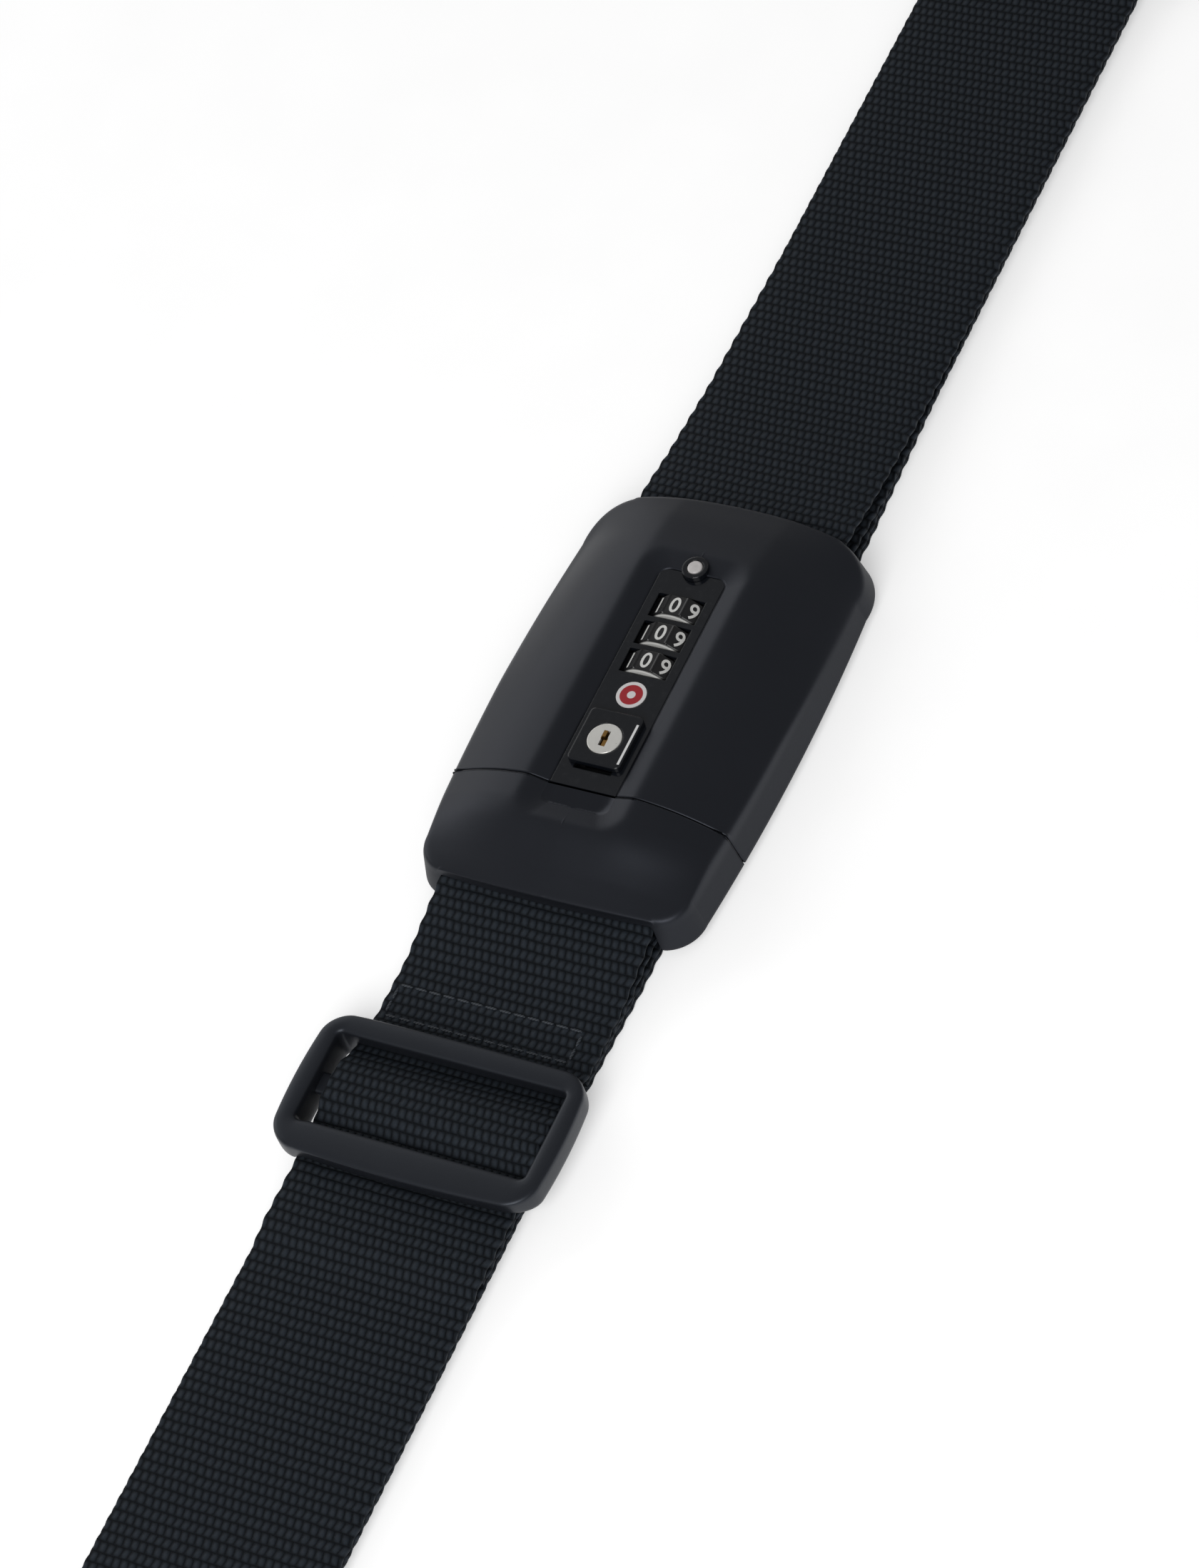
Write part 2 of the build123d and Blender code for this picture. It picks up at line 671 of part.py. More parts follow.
with BuildPart() as latch_bolt:
    bolt_bottom = blade_bottom + blade_thickness + 0.4
    add(slab(bolt_x - 2.5, bolt_x + 2.5, bolt_bottom, bolt_bottom + 4.1, 3.8))
    add(slab(bolt_x - 2.5, bolt_x + 2.5, bolt_bottom + 2.6, bolt_bottom + 4.1, 6.2))
    chamfer(latch_bolt.faces().sort_by(Axis.Z)[0].edges().sort_by(Axis.X)[0], length=1.2)
write(latch_bolt.part, "latch_bolt")

with BuildPart() as latch_springs:
    for side in (1, -1):
        add(coil_spring((bolt_x, side * 2.4, 11.8), (0, 0, 1), 3.5, 5, 1.0, 0.16))
write(latch_springs.part, "latch_springs")

# ---- Tongue --------------------------------------------------------------------------------------
tongue_screws_at = ((-13.5, 27.4), (-13.5, -27.4))
with BuildPart() as tongue_cover:
    add(buckle_block(0, buckle_bottom))
    add(slab(part_x - part_gap / 2, 90.0, 0.0, 30.0, 50.0), mode=Mode.SUBTRACT)
    with BuildPart(mode=Mode.PRIVATE) as tongue_cavity:
        add(buckle_block(wall, buckle_bottom - 0.1))
        add(slab(part_x - front_wall, 90.0, 0.0, 30.0, 50.0), mode=Mode.SUBTRACT)
        add(bosses(tongue_screws_at), mode=Mode.SUBTRACT)
    add(tongue_cavity.part, mode=Mode.SUBTRACT)
    add(recess_cutter(), mode=Mode.SUBTRACT)
    add(slab(-40.0, -26.0, 2.0, 9.3, slot_half), mode=Mode.SUBTRACT)
    add(slab(part_x - front_wall - 0.1, 0.0, blade_bottom - 0.1, 7.3, blade_half + 0.2), mode=Mode.SUBTRACT)
    for side in (1, -1):
        with BuildSketch(Plane.XY.offset(prong_z[0] - 0.2)):
            with Locations((part_x, side * sum(prong_y) / 2)):
                Rectangle(6.0, prong_y[1] - prong_y[0] + 0.4)
        extrude(amount=prong_z[1] - prong_z[0] + 0.4, mode=Mode.SUBTRACT)
    add(slab(-12.0, 0.0, 2.0, base_top + fit, 32.0), mode=Mode.SUBTRACT)
    add(screw_holes(tongue_screws_at), mode=Mode.SUBTRACT)
write(tongue_cover.part, "tongue_cover")

with BuildPart() as tongue_base:
    with BuildPart(mode=Mode.PRIVATE) as tongue_limit:
        add(buckle_block(wall + 0.15, buckle_bottom))
        add(slab(part_x - 0.2, 90.0, 0.0, 30.0, 50.0), mode=Mode.SUBTRACT)
    add(tongue_limit.part)
    add(slab(-40.0, 90.0, base_top, 30.0, 50.0), mode=Mode.SUBTRACT)
    for side in (1, -1):
        with BuildSketch(Plane.XZ.offset(-side * ear_y)):
            with Locations((tongue_bar[0], (base_top + tongue_bar[1] + 0.8) / 2)):
                Rectangle(5.0, tongue_bar[1] + 0.8 - base_top)
            with Locations(tongue_bar):
                Circle(bar_radius + 0.05, mode=Mode.SUBTRACT)
        extrude(amount=0.7, both=True)
    # the blade's seat, and the two guide prongs with their rounded tips
    add(slab(-18.0, -8.2, base_top, blade_bottom, 9.0))
    for side in (1, -1):
        with BuildSketch(Plane.XY.offset(prong_z[0])):
            with Locations((-2.0, side * sum(prong_y) / 2)):
                RectangleRounded(30.0, prong_y[1] - prong_y[0], 1.6)
        extrude(amount=prong_z[1] - prong_z[0])
        with BuildSketch(Plane.XY.offset(base_top)):
            with Locations((-12.8, side * sum(prong_y) / 2)):
                Rectangle(8.0, prong_y[1] - prong_y[0])
        extrude(amount=prong_z[0] - base_top + 1.0)
    for x, y in tongue_screws_at:
        with BuildSketch(Plane.XY.offset(buckle_bottom)):
            with Locations((x, y)):
                Circle(2.4)
        extrude(amount=base_thickness, taper=42.0, mode=Mode.SUBTRACT)
        with BuildSketch(Plane.XY.offset(buckle_bottom)):
            with Locations((x, y)):
                Circle(screw_radius + 0.15)
        extrude(amount=base_thickness, mode=Mode.SUBTRACT)
    with BuildSketch(Plane.XY.offset(base_top - 0.6)):
        with Locations((-13.0, 5.0), (-13.0, -5.0)):
            Circle(1.05)
    extrude(amount=6.0, mode=Mode.SUBTRACT)
write(tongue_base.part, "tongue_base")

with BuildPart() as tongue_screws:
    for x, y in tongue_screws_at:
        add(screw(x, y, 5.2))
write(tongue_screws.part, "tongue_screws")

with BuildPart() as tongue_webbing_bar:
    with BuildSketch(Plane.XZ):
        with Locations(tongue_bar):
            Circle(bar_radius)
    extrude(amount=bar_half, both=True)
    chamfer(tongue_webbing_bar.faces().filter_by(Axis.Y).edges(), length=0.3)
write(tongue_webbing_bar.part, "tongue_webbing_bar")

with BuildPart() as tongue_blade:
    with BuildSketch(Plane.XY.offset(blade_bottom)):
        with BuildLine():
            Polyline(
                (-18.0, -blade_half), (-18.0, blade_half), (blade_end - 4.0, blade_half),
                (blade_end, blade_half - 3.0), (blade_end, 3.0 - blade_half), (blade_end - 4.0, -blade_half),
                close=True,
            )
        make_face()
        with Locations((bolt_x, 0)):
            Rectangle(5.8, 8.4, mode=Mode.SUBTRACT)
        with Locations((-13.0, 5.0), (-13.0, -5.0)):
            Circle(1.05, mode=Mode.SUBTRACT)
    extrude(amount=blade_thickness)
write(tongue_blade.part, "tongue_blade")

with BuildPart() as blade_rivets:
    with BuildSketch(Plane.XY.offset(base_top - 0.5)):
        with Locations((-13.0, 5.0), (-13.0, -5.0)):
            Circle(1.0)
    extrude(amount=blade_bottom + blade_thickness - base_top + 0.5)
    with BuildSketch(Plane.XY.offset(blade_bottom + blade_thickness)):
        with Locations((-13.0, 5.0), (-13.0, -5.0)):
            Circle(1.8)
    extrude(amount=0.8, taper=20.0)
write(blade_rivets.part, "blade_rivets")

# ---- What was made ---------------------------------------------------------------------------------
plies = (webbing_right, webbing_left_outer, webbing_left_inner)
cut_length = sum(ply.volume for ply in plies) / (web * web_width)
print(f"webbing, all plies end to end: {cut_length:.0f} mm")
print(f"one dial's digits are {2 * pi * dial_radius / 10:.2f} mm apart")
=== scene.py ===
# %% [markdown]
# # A luggage strap with a combination buckle
# The strap lies flat on a pale table: four plies of 50 mm webbing, a buckle with three number dials,
# and a three-bar adjuster. The frame from the CAD step gives every hard part its place. This
# lesson gives each one its finish, and makes the webbing, the buckle's covers, the adjuster,
# the dials and the stitching again as finer surfaces.

import bmesh
import bpy
import numpy as np
from mathutils import Matrix, Vector


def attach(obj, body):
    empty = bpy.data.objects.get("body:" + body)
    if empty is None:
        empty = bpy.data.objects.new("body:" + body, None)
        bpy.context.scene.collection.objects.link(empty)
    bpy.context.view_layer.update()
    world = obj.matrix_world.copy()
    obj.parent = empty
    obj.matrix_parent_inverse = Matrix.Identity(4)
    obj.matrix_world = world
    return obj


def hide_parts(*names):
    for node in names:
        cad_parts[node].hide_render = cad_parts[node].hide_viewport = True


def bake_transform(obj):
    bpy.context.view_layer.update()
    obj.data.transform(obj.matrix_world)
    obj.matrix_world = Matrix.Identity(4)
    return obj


bpy.ops.wm.read_factory_settings(use_empty=True)
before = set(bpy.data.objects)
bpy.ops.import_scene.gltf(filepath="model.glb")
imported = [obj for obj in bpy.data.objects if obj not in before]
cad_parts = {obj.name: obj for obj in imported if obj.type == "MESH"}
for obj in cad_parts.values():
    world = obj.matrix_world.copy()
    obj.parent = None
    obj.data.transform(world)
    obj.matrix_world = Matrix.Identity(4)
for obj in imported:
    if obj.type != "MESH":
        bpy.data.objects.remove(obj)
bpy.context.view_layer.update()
MM = 0.001

# %% [markdown]
# ## From a grid of points to a mesh
# Each new shape is a function of two parameters, worked out for a whole grid at once. One helper
# turns the grid into quads, closes it in either direction where the shape is a tube or a ring,
# and stores a UV map in metres where a pattern has to follow the surface.

# %% Grid to mesh
def grid_piece(name, points, ring=False, tube=False, uv=None):
    """Quads between neighbouring points; ring joins the last row to the first, tube the last column."""
    rows, columns = points.shape[:2]
    row, column = np.meshgrid(
        np.arange(rows if ring else rows - 1), np.arange(columns if tube else columns - 1), indexing="ij"
    )
    next_row, next_column = (row + 1) % rows, (column + 1) % columns
    quads = np.stack(
        [row * columns + column, next_row * columns + column,
         next_row * columns + next_column, row * columns + next_column], axis=-1
    ).reshape(-1, 4)
    mesh = bpy.data.meshes.new(name)
    mesh.from_pydata((points.reshape(-1, 3) * MM).tolist(), [], quads.tolist())
    if uv is not None:
        layer = mesh.uv_layers.new(name="along_and_across")
        layer.data.foreach_set("uv", uv.reshape(-1, 2)[quads.reshape(-1)].astype(np.float32).reshape(-1))
    mesh.polygons.foreach_set("use_smooth", np.ones(len(quads), bool))
    mesh.update()
    piece = bpy.data.objects.new(name, mesh)
    bpy.context.scene.collection.objects.link(piece)
    return piece


def joined(name, pieces):
    """Several meshes as one piece, with their materials kept."""
    with bpy.context.temp_override(active_object=pieces[0], selected_editable_objects=pieces):
        bpy.ops.object.join()
    pieces[0].name = name
    return pieces[0]


# %% [markdown]
# ## Shader maths as Python
# A wrapped socket takes Python's operators, and each one adds a Math node. The materials below then
# read like the formulas they are.

# %% A socket with operators, and a material that hands them out
class Wire:
    """One value in a shader, which can be added to, scaled and compared like a number."""

    def __init__(self, finish, socket):
        self.finish = finish
        self.socket = socket

    def math(self, operation, *others):
        inputs = {k: v for k, v in enumerate((self, *others))}
        return self.finish.add("ShaderNodeMath", {"operation": operation}, inputs)

    def __add__(self, other):
        return self.math("ADD", other)

    def __sub__(self, other):
        return self.math("SUBTRACT", other)

    def __mul__(self, other):
        return self.math("MULTIPLY", other)

    def __pow__(self, other):
        return self.math("POWER", other)

    def __rsub__(self, other):
        return self.math("MULTIPLY", -1.0).math("ADD", other)

    __radd__ = __add__
    __rmul__ = __mul__

    def between(self, low, high):
        """0 below low, 1 above high, and a smooth rise between."""
        return self.finish.add(
            "ShaderNodeMapRange", {"interpolation_type": "SMOOTHSTEP"},
            {"Value": self, "From Min": low, "From Max": high},
        )


class Finish:
    """A material whose Principled shader is filled in by name."""

    def __init__(self, name, **uniform):
        self.material = bpy.data.materials.new(name)
        self.material.use_nodes = True
        self.tree = self.material.node_tree
        self.shader = self.tree.nodes["Principled BSDF"]
        for socket, value in uniform.items():
            self.shader.inputs[socket.replace("_", " ")].default_value = value

    def add(self, kind, settings=None, inputs=None, output=0):
        """Any node: its settings first, then the values or wires of its sockets, and one output back."""
        node = self.tree.nodes.new(kind)
        for key, value in (settings or {}).items():
            setattr(node, key, value)
        for key, value in (inputs or {}).items():
            if isinstance(value, Wire):
                self.tree.links.new(value.socket, node.inputs[key])
            else:
                node.inputs[key].default_value = value
        return Wire(self, node.outputs[output])

    def position(self):
        """Object coordinates in millimetres, as three wires."""
        place = self.add("ShaderNodeTexCoord", output="Object")
        parts = [self.add("ShaderNodeSeparateXYZ", {}, {0: place}, output=k) for k in range(3)]
        return [part * 1000.0 for part in parts]

    def noise(self, scale, detail=3.0):
        """Noise over Object coordinates; scale is in waves per metre."""
        place = self.add("ShaderNodeTexCoord", output="Object")
        return self.add("ShaderNodeTexNoise", {}, {"Vector": place, "Scale": scale, "Detail": detail})

    def mix(self, mask, dark, light):
        """A colour that goes from dark to light as mask goes from 0 to 1."""
        return self.add("ShaderNodeMix", {"data_type": "RGBA"}, {0: mask, 6: dark, 7: light}, output=2)

    def bump(self, height, distance, strength=1.0, normal=None):
        inputs = {"Height": height, "Distance": distance, "Strength": strength}
        if normal is not None:
            inputs["Normal"] = normal
        return self.add("ShaderNodeBump", {}, inputs)

    def rounded_edges(self, radius):
        return self.add("ShaderNodeBevel", {"samples": 4}, {"Radius": radius})

    def feed(self, **wires):
        for socket, wire in wires.items():
            self.tree.links.new(wire.socket, self.shader.inputs[socket.replace("_", " ")])
        return self


def rgb(r, g, b):
    return (r, g, b, 1.0)


# %% [markdown]
# ## The webbing's weave
# Heavy polyester webbing shows rows of short warp floats. Each row is 2.3 mm long, and the floats lie
# 1.75 mm apart and shift half a step from one row to the next. The UV map counts metres along
# and across the strap, so the same weave follows every bend. The floats are rounded by a bump, and
# their colour holds a painted highlight on their backs and painted shade in the gaps.

# %% Webbing and thread
ROW = 2.33
COLUMN = 1.75


def webbing_finish():
    """Height of a float = a half sine along the row times a half sine across its column."""
    cloth = Finish("webbing weave", Specular_IOR_Level=0.22, Specular_Tint=rgb(0.78, 0.88, 1.0))
    uv = cloth.add("ShaderNodeUVMap", {"uv_map": "along_and_across"})
    along = cloth.add("ShaderNodeSeparateXYZ", {}, {0: uv}, output=0) * (1000.0 / ROW)
    across = cloth.add("ShaderNodeSeparateXYZ", {}, {0: uv}, output=1) * (1000.0 / COLUMN)
    wobble = cloth.noise(160.0, 2.0) - 0.5
    along = along + wobble * 0.25
    row_phase = along.math("FRACT")
    odd = (along.math("FLOOR") * 0.5).math("FRACT") * 2.0
    lean = (row_phase - 0.5) * (odd * 0.3 - 0.15)
    column_phase = (across + wobble * 0.3 + odd * 0.5 + lean).math("FRACT")
    crest = (row_phase * np.pi).math("SINE").math("MAXIMUM", 0.0) ** 0.55
    thread = (column_phase * np.pi).math("SINE").math("MAXIMUM", 0.0) ** 0.9
    height = crest * (thread * 0.8 + 0.2)
    fibres = cloth.noise(2600.0, 2.0)
    # Base colour: painted highlight on the floats' backs, painted shade in the gaps between them, and
    # random fibre tone.
    tone = height * 0.75 + fibres * 0.25
    weave_light_and_fibre_tone = cloth.mix(tone.between(0.25, 0.95), rgb(0.0024, 0.0031, 0.0042), rgb(0.0195, 0.0245, 0.0320))
    cloth.feed(
        Base_Color=weave_light_and_fibre_tone,
        Roughness=0.55 + (1.0 - tone) * 0.3,
        Normal=cloth.bump(height + fibres * 0.12, 0.00045, 0.9),
    )
    return cloth.material


def thread_finish():
    thread = Finish("stitching thread", Roughness=0.5, Specular_IOR_Level=0.3)
    x, y, z = thread.position()
    twist = ((x * 0.8 + y) * 9.0).math("SINE") * 0.5 + 0.5
    # The base colour is lighter on the twist's ridges: a painted highlight that follows the bump.
    thread.feed(
        Base_Color=thread.mix(twist, rgb(0.020, 0.024, 0.030), rgb(0.055, 0.064, 0.078)),
        Normal=thread.bump(twist, 0.00012),
    )
    return thread.material


webbing = webbing_finish()
thread = thread_finish()
print("weave rows", ROW, "mm, floats", COLUMN, "mm apart")

# %% [markdown]
# ## Webbing plies
# Each ply follows a route in X and Z made of straight runs and arcs. Round that route goes the webbing's
# own section: flat faces and rounded edges. The edges wave in and out a little where each
# turn of the weft pulls the selvedge in.

# %% A route with rounded corners, and the section carried along it
PLY = 1.15
PITCH = 1.2
HALF_WIDTH = 25.0
EDGE_ROUND = 0.45
SCALLOP = 0.16
STEP = 0.58
PLY_1, PLY_2, PLY_3, PLY_4 = (PLY / 2 + PITCH * k for k in range(4))


def rounded_route(corners, radii, step):
    """Straight runs joined by tangent arcs, then points at even steps along the whole."""
    corners = np.array(corners, float)
    runs = [corners[:1]]
    for before, corner, after, radius in zip(corners[:-2], corners[1:-1], corners[2:], radii):
        back = (before - corner) / np.linalg.norm(before - corner)
        ahead = (after - corner) / np.linalg.norm(after - corner)
        half = 0.5 * np.arccos(np.clip(back @ ahead, -1.0, 1.0))
        bisector = (back + ahead) / np.linalg.norm(back + ahead)
        centre = corner + bisector * radius / np.sin(half)
        first, last = corner + back * radius / np.tan(half), corner + ahead * radius / np.tan(half)
        start = np.arctan2(*(first - centre)[::-1])
        sweep = (np.arctan2(*(last - centre)[::-1]) - start + np.pi) % (2 * np.pi) - np.pi
        angle = start + sweep * np.linspace(0, 1, 25)
        runs.append(centre + radius * np.stack([np.cos(angle), np.sin(angle)], axis=1))
    runs.append(corners[-1:])
    line = np.concatenate(runs)
    length = np.concatenate([[0], np.cumsum(np.linalg.norm(np.diff(line, axis=0), axis=1))])
    even = np.linspace(0, length[-1], int(length[-1] / step) + 1)
    return np.stack([np.interp(even, length, line[:, k]) for k in (0, 1)], axis=1), even


def moved_route(corners, radii, shift):
    """The route moved to its left by shift: mitred corners, and radii changed to suit."""
    corners = [np.array(corner, float) for corner in corners]
    runs = [(b - a) / np.linalg.norm(b - a) for a, b in zip(corners, corners[1:])]
    lefts = [np.array([-run[1], run[0]]) for run in runs]
    moved, bends = [corners[0] + lefts[0] * shift], []
    for k, radius in enumerate(radii):
        mitre = (lefts[k] + lefts[k + 1]) / (1.0 + lefts[k] @ lefts[k + 1])
        moved.append(corners[k + 1] + mitre * shift)
        turn = runs[k][0] * runs[k + 1][1] - runs[k][1] * runs[k + 1][0]
        bends.append(radius - shift * np.sign(turn))
    return moved + [corners[-1] + lefts[-1] * shift], bends


def ply_piece(name, corners, radii, sideways):
    """Section (across, off) carried along the route: off along the route's normal, across along Y."""
    line, along = rounded_route(corners, radii, STEP)
    tangent = np.gradient(line, axis=0)
    tangent /= np.linalg.norm(tangent, axis=1)[:, None]
    normal = np.stack([-tangent[:, 1], tangent[:, 0]], axis=1)
    flat = np.linspace(-1, 1, 9)
    bend = np.linspace(0, np.pi, 6)[1:-1]
    reach, half = HALF_WIDTH - EDGE_ROUND, PLY / 2
    edge = reach + EDGE_ROUND * np.sin(bend)
    across = np.concatenate([flat * reach, edge, -flat * reach, -edge])
    face, round_off = np.full(len(flat), half), half * np.cos(bend)
    off = np.concatenate([face, round_off, -face, -round_off])
    scallop = SCALLOP * np.cos(2 * np.pi * along / (2 * ROW))
    selvedge = np.sign(across) * (np.abs(across) > reach - 0.01)
    reach_now = across[None, :] + selvedge[None, :] * scallop[:, None]
    side = sideways(line[:, 0], line[:, 1])
    points = np.empty((len(along), len(across), 3))
    points[..., 0] = line[:, :1] + normal[:, :1] * off
    points[..., 1] = reach_now + side[:, None]
    points[..., 2] = line[:, 1:] + normal[:, 1:] * off
    uv = np.empty((len(along), len(across), 2))
    uv[..., 0] = along[:, None] * MM
    uv[..., 1] = across[None, :] * MM
    piece = grid_piece(name, points[:, ::-1], tube=True, uv=uv[:, ::-1])
    close_ends(piece, len(along), len(across))
    piece.data.materials.append(webbing)
    print(name, round(float(along[-1])), "mm long")
    return piece, float(along[-1])


def close_ends(piece, rows, columns):
    """One flat face over each cut end of a tube."""
    shape = bmesh.new()
    shape.from_mesh(piece.data)
    shape.verts.ensure_lookup_table()
    shape.faces.new([shape.verts[k] for k in range(columns)])
    shape.faces.new([shape.verts[(rows - 1) * columns + k] for k in range(columns)][::-1])
    bmesh.ops.recalc_face_normals(shape, faces=shape.faces)
    shape.to_mesh(piece.data)
    shape.free()


# %% Routes of the plies
PARTING = -6.0
LOOP_END = 260.0
BRIDGE_END = -100.0
BAR_RADIUS = 1.6
WRAP = BAR_RADIUS + 0.05 + PLY / 2
TURN = 0.98 * WRAP
HOUSING_BAR = (64.0, 6.75)
TONGUE_BAR = (-24.0, 7.0)


def outer_turn(side, first):
    """The outer ply from x = first round the loop's end and back along the top."""
    corners = [
        (first, PLY_1),
        (side * (LOOP_END - 2.0), PLY_1),
        (side * (LOOP_END - 0.6), 9.2),
        (side * (LOOP_END - 8.5), 10.4),
        (side * 240.0, PLY_4),
        (side * 150.0, PLY_4),
    ]
    return corners, [4.4, 3.4, 3.4, 18.0]


def lower_shift(x, z):
    """The two lower plies lie a little further from the near edge, away from the buckle."""
    return 1.3 * np.clip((3.0 - z) / 1.0, 0, 1) * np.clip((np.abs(x - 20.0) - 60.0) / 40.0, 0, 1)


right_corners, right_radii = outer_turn(1, PARTING + 0.3)
inner_corners, inner_radii = moved_route(right_corners, right_radii, PITCH)
bar_x, bar_z = HOUSING_BAR
right_route = right_corners + [
    (107.0, 5.5), (86.0, 7.3), (75.0, bar_z + WRAP), (bar_x - WRAP, bar_z + WRAP),
    (bar_x - WRAP, bar_z - WRAP), (75.5, bar_z - WRAP - 0.1), (90.0, PLY_3),
] + inner_corners[-2::-1]
right_bends = right_radii + [120.0, 60.0, 12.0, 4.0, TURN, TURN, 14.0, 14.0] + inner_radii[::-1]
webbing_right, right_length = ply_piece("webbing_right_woven", right_route, right_bends, lower_shift)

left_corners, left_radii = outer_turn(-1, BRIDGE_END)
inner_left, inner_left_radii = moved_route(left_corners, left_radii, -PITCH)
bar_x, bar_z = TONGUE_BAR
left_route = left_corners[:-1] + [
    (-120.0, PLY_4), (-113.0, 5.52), (-91.6, 5.52), (-84.4, 8.8), (-77.6, 8.8), (-71.2, 5.5),
    (-67.0, 5.5), (-62.6, PLY_4), (-48.0, PLY_4), (-31.0, bar_z + WRAP - 1.7), (-25.0, bar_z + WRAP),
    (bar_x + WRAP, bar_z + WRAP), (bar_x + WRAP, bar_z - WRAP), (-32.0, bar_z - WRAP - 0.3),
    (-44.0, PLY_3), (-64.5, PLY_3),
]
left_bends = left_radii + [14.0, 14.0, 4.5, 3.0, 3.0, 4.5, 3.0, 6.0, 14.0, 6.0, 2.5]
left_bends += [TURN, TURN, 10.0, 10.0]
webbing_left, left_length = ply_piece("webbing_left_outer_woven", left_route, left_bends, lower_shift)

BAR_Z = 6.0
FOLD = 1.0 + 0.05 + PLY / 2
fold_x = -80.95 + 1.5 + FOLD
tail_route = inner_left[:-1] + [
    (-90.5, PLY_3), (-85.6, BAR_Z - FOLD), (fold_x, BAR_Z - FOLD), (fold_x, BAR_Z + FOLD),
    (-83.4, BAR_Z + FOLD), (-90.0, PLY_4 + 0.05), (-113.0, PLY_4 + 0.02),
]
tail_bends = inner_left_radii + [5.0, 5.0, 0.98 * FOLD, 0.98 * FOLD, 3.0, 4.0]
webbing_tail, tail_length = ply_piece("webbing_left_inner_woven", tail_route, tail_bends, lower_shift)

bridge_lower, bridge_length = ply_piece(
    "webbing_under_buckle_lower", [(BRIDGE_END, PLY_1), (PARTING + 0.3, PLY_1)], [], lower_shift
)
bridge_upper, bridge_length = ply_piece(
    "webbing_under_buckle_upper", [(BRIDGE_END, PLY_2), (PARTING + 0.3, PLY_2)], [], lower_shift
)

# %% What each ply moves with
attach(webbing_right, "housing")
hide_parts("webbing_right")
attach(webbing_left, "tongue")
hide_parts("webbing_left_outer")
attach(webbing_tail, "tongue")
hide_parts("webbing_left_inner")
for bridge in (bridge_lower, bridge_upper):
    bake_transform(bridge)

# %% [markdown]
# ## The buckle's moulded covers
# The covers are satin plastic: barrel-sided in plan, with a steep side wall, a soft crease, a
# crowned top and a bevelled recess. Rings go round each cover from the foot of its wall, over the
# crease and the crown, to the rim of the recess and down its bevel, so every crease of the real
# moulding lies along a ring and can be rounded by smoothing across the rings. At the parting the
# edge is turned in, and the CAD cover's own front wall closes the box.

# %% Satin plastic
def shell_finish():
    """A fine spark texture, duller on the side walls and polished on the tongue's recess floor."""
    shell = Finish(
        "satin moulded shell", Specular_IOR_Level=0.4, Specular_Tint=rgb(0.80, 0.85, 1.0)
    )
    grain = shell.noise(4200.0, 2.0)
    cloud = shell.noise(60.0, 3.0)
    x, y, z = shell.position()
    on_floor = (1.0 - z.between(16.75, 16.95)) * (1.0 - y.math("ABSOLUTE").between(7.7, 8.0))
    polished = on_floor * x.between(-14.0, -10.0) * (1.0 - x.between(-6.0, -5.5))
    wall = 1.0 - z.between(8.0, 11.0)
    shell.feed(
        Base_Color=shell.mix(cloud, rgb(0.0062, 0.0070, 0.0092), rgb(0.0082, 0.0092, 0.0120)),
        Roughness=0.34 + grain * 0.08 + cloud * 0.05 - polished * 0.26 + wall * 0.2,
        Normal=shell.bump(grain * (1.0 - polished), 0.00003, 0.35),
    )
    return shell.material


shell = shell_finish()

# %% Outlines of the cover's rings
RIM_TOP = 18.0
PLATE_TOP = 16.7
FOOT = 2.5
THICKNESS = 1.7
RIM = (-15.0, 55.6, 12.2)
BEVEL = 4.4
SIDE_STEPS, CORNER_STEPS, END_STEPS = 150, 70, 50


def arc_through(first, middle, last, count):
    """Points on the circle through three points, from first to last."""
    (ax, ay), (bx, by), (cx, cy) = first, middle, last
    d = 2 * (ax * (by - cy) + bx * (cy - ay) + cx * (ay - by))
    ux = ((ax**2 + ay**2) * (by - cy) + (bx**2 + by**2) * (cy - ay) + (cx**2 + cy**2) * (ay - by)) / d
    uy = ((ax**2 + ay**2) * (cx - bx) + (bx**2 + by**2) * (ax - cx) + (cx**2 + cy**2) * (bx - ax)) / d
    radius = np.hypot(ax - ux, ay - uy)
    start, end = np.arctan2(ay - uy, ax - ux), np.arctan2(cy - uy, cx - ux)
    sweep = (end - start + np.pi) % (2 * np.pi) - np.pi
    angle = start + sweep * np.linspace(0, 1, count)
    return np.stack([ux + radius * np.cos(angle), uy + radius * np.sin(angle)], axis=1)


def spread(line, count):
    """The same line with count points at even steps along it."""
    length = np.concatenate([[0], np.cumsum(np.linalg.norm(np.diff(line, axis=0), axis=1))])
    even = np.linspace(0, length[-1], count)
    return np.stack([np.interp(even, length, line[:, k]) for k in (0, 1)], axis=1)


def half_ring(side, corner, end):
    """Side, corner and end of the ring's +Y half, each with its own number of points."""
    corner, end = spread(corner, CORNER_STEPS)[1:], spread(end, END_STEPS)[1:]
    return np.concatenate([spread(side, SIDE_STEPS), corner, end])


def outline_half(direction, parting):
    """The cover's foot from the parting to the end's centre, on the +Y side."""
    side = arc_through((-22.0, 32.6), (18.0, 34.8), (58.0, 33.8), 400)
    if direction > 0:
        corner = arc_through((58.0, 33.8), (68.2, 30.8), (72.4, 24.0), 80)
        end = arc_through((72.4, 24.0), (74.6, 0.0), (72.4, -24.0), 161)[:81]
        side = side[side[:, 0] > parting]
    else:
        corner = arc_through((-22.0, 32.6), (-27.8, 30.4), (-30.4, 25.0), 80)
        end = arc_through((-30.4, 25.0), (-31.4, 0.0), (-30.4, -25.0), 161)[:81]
        side = side[side[:, 0] < parting][::-1]
    side = np.concatenate([[[parting, side[0, 1]]], side])
    return half_ring(side, corner, end)


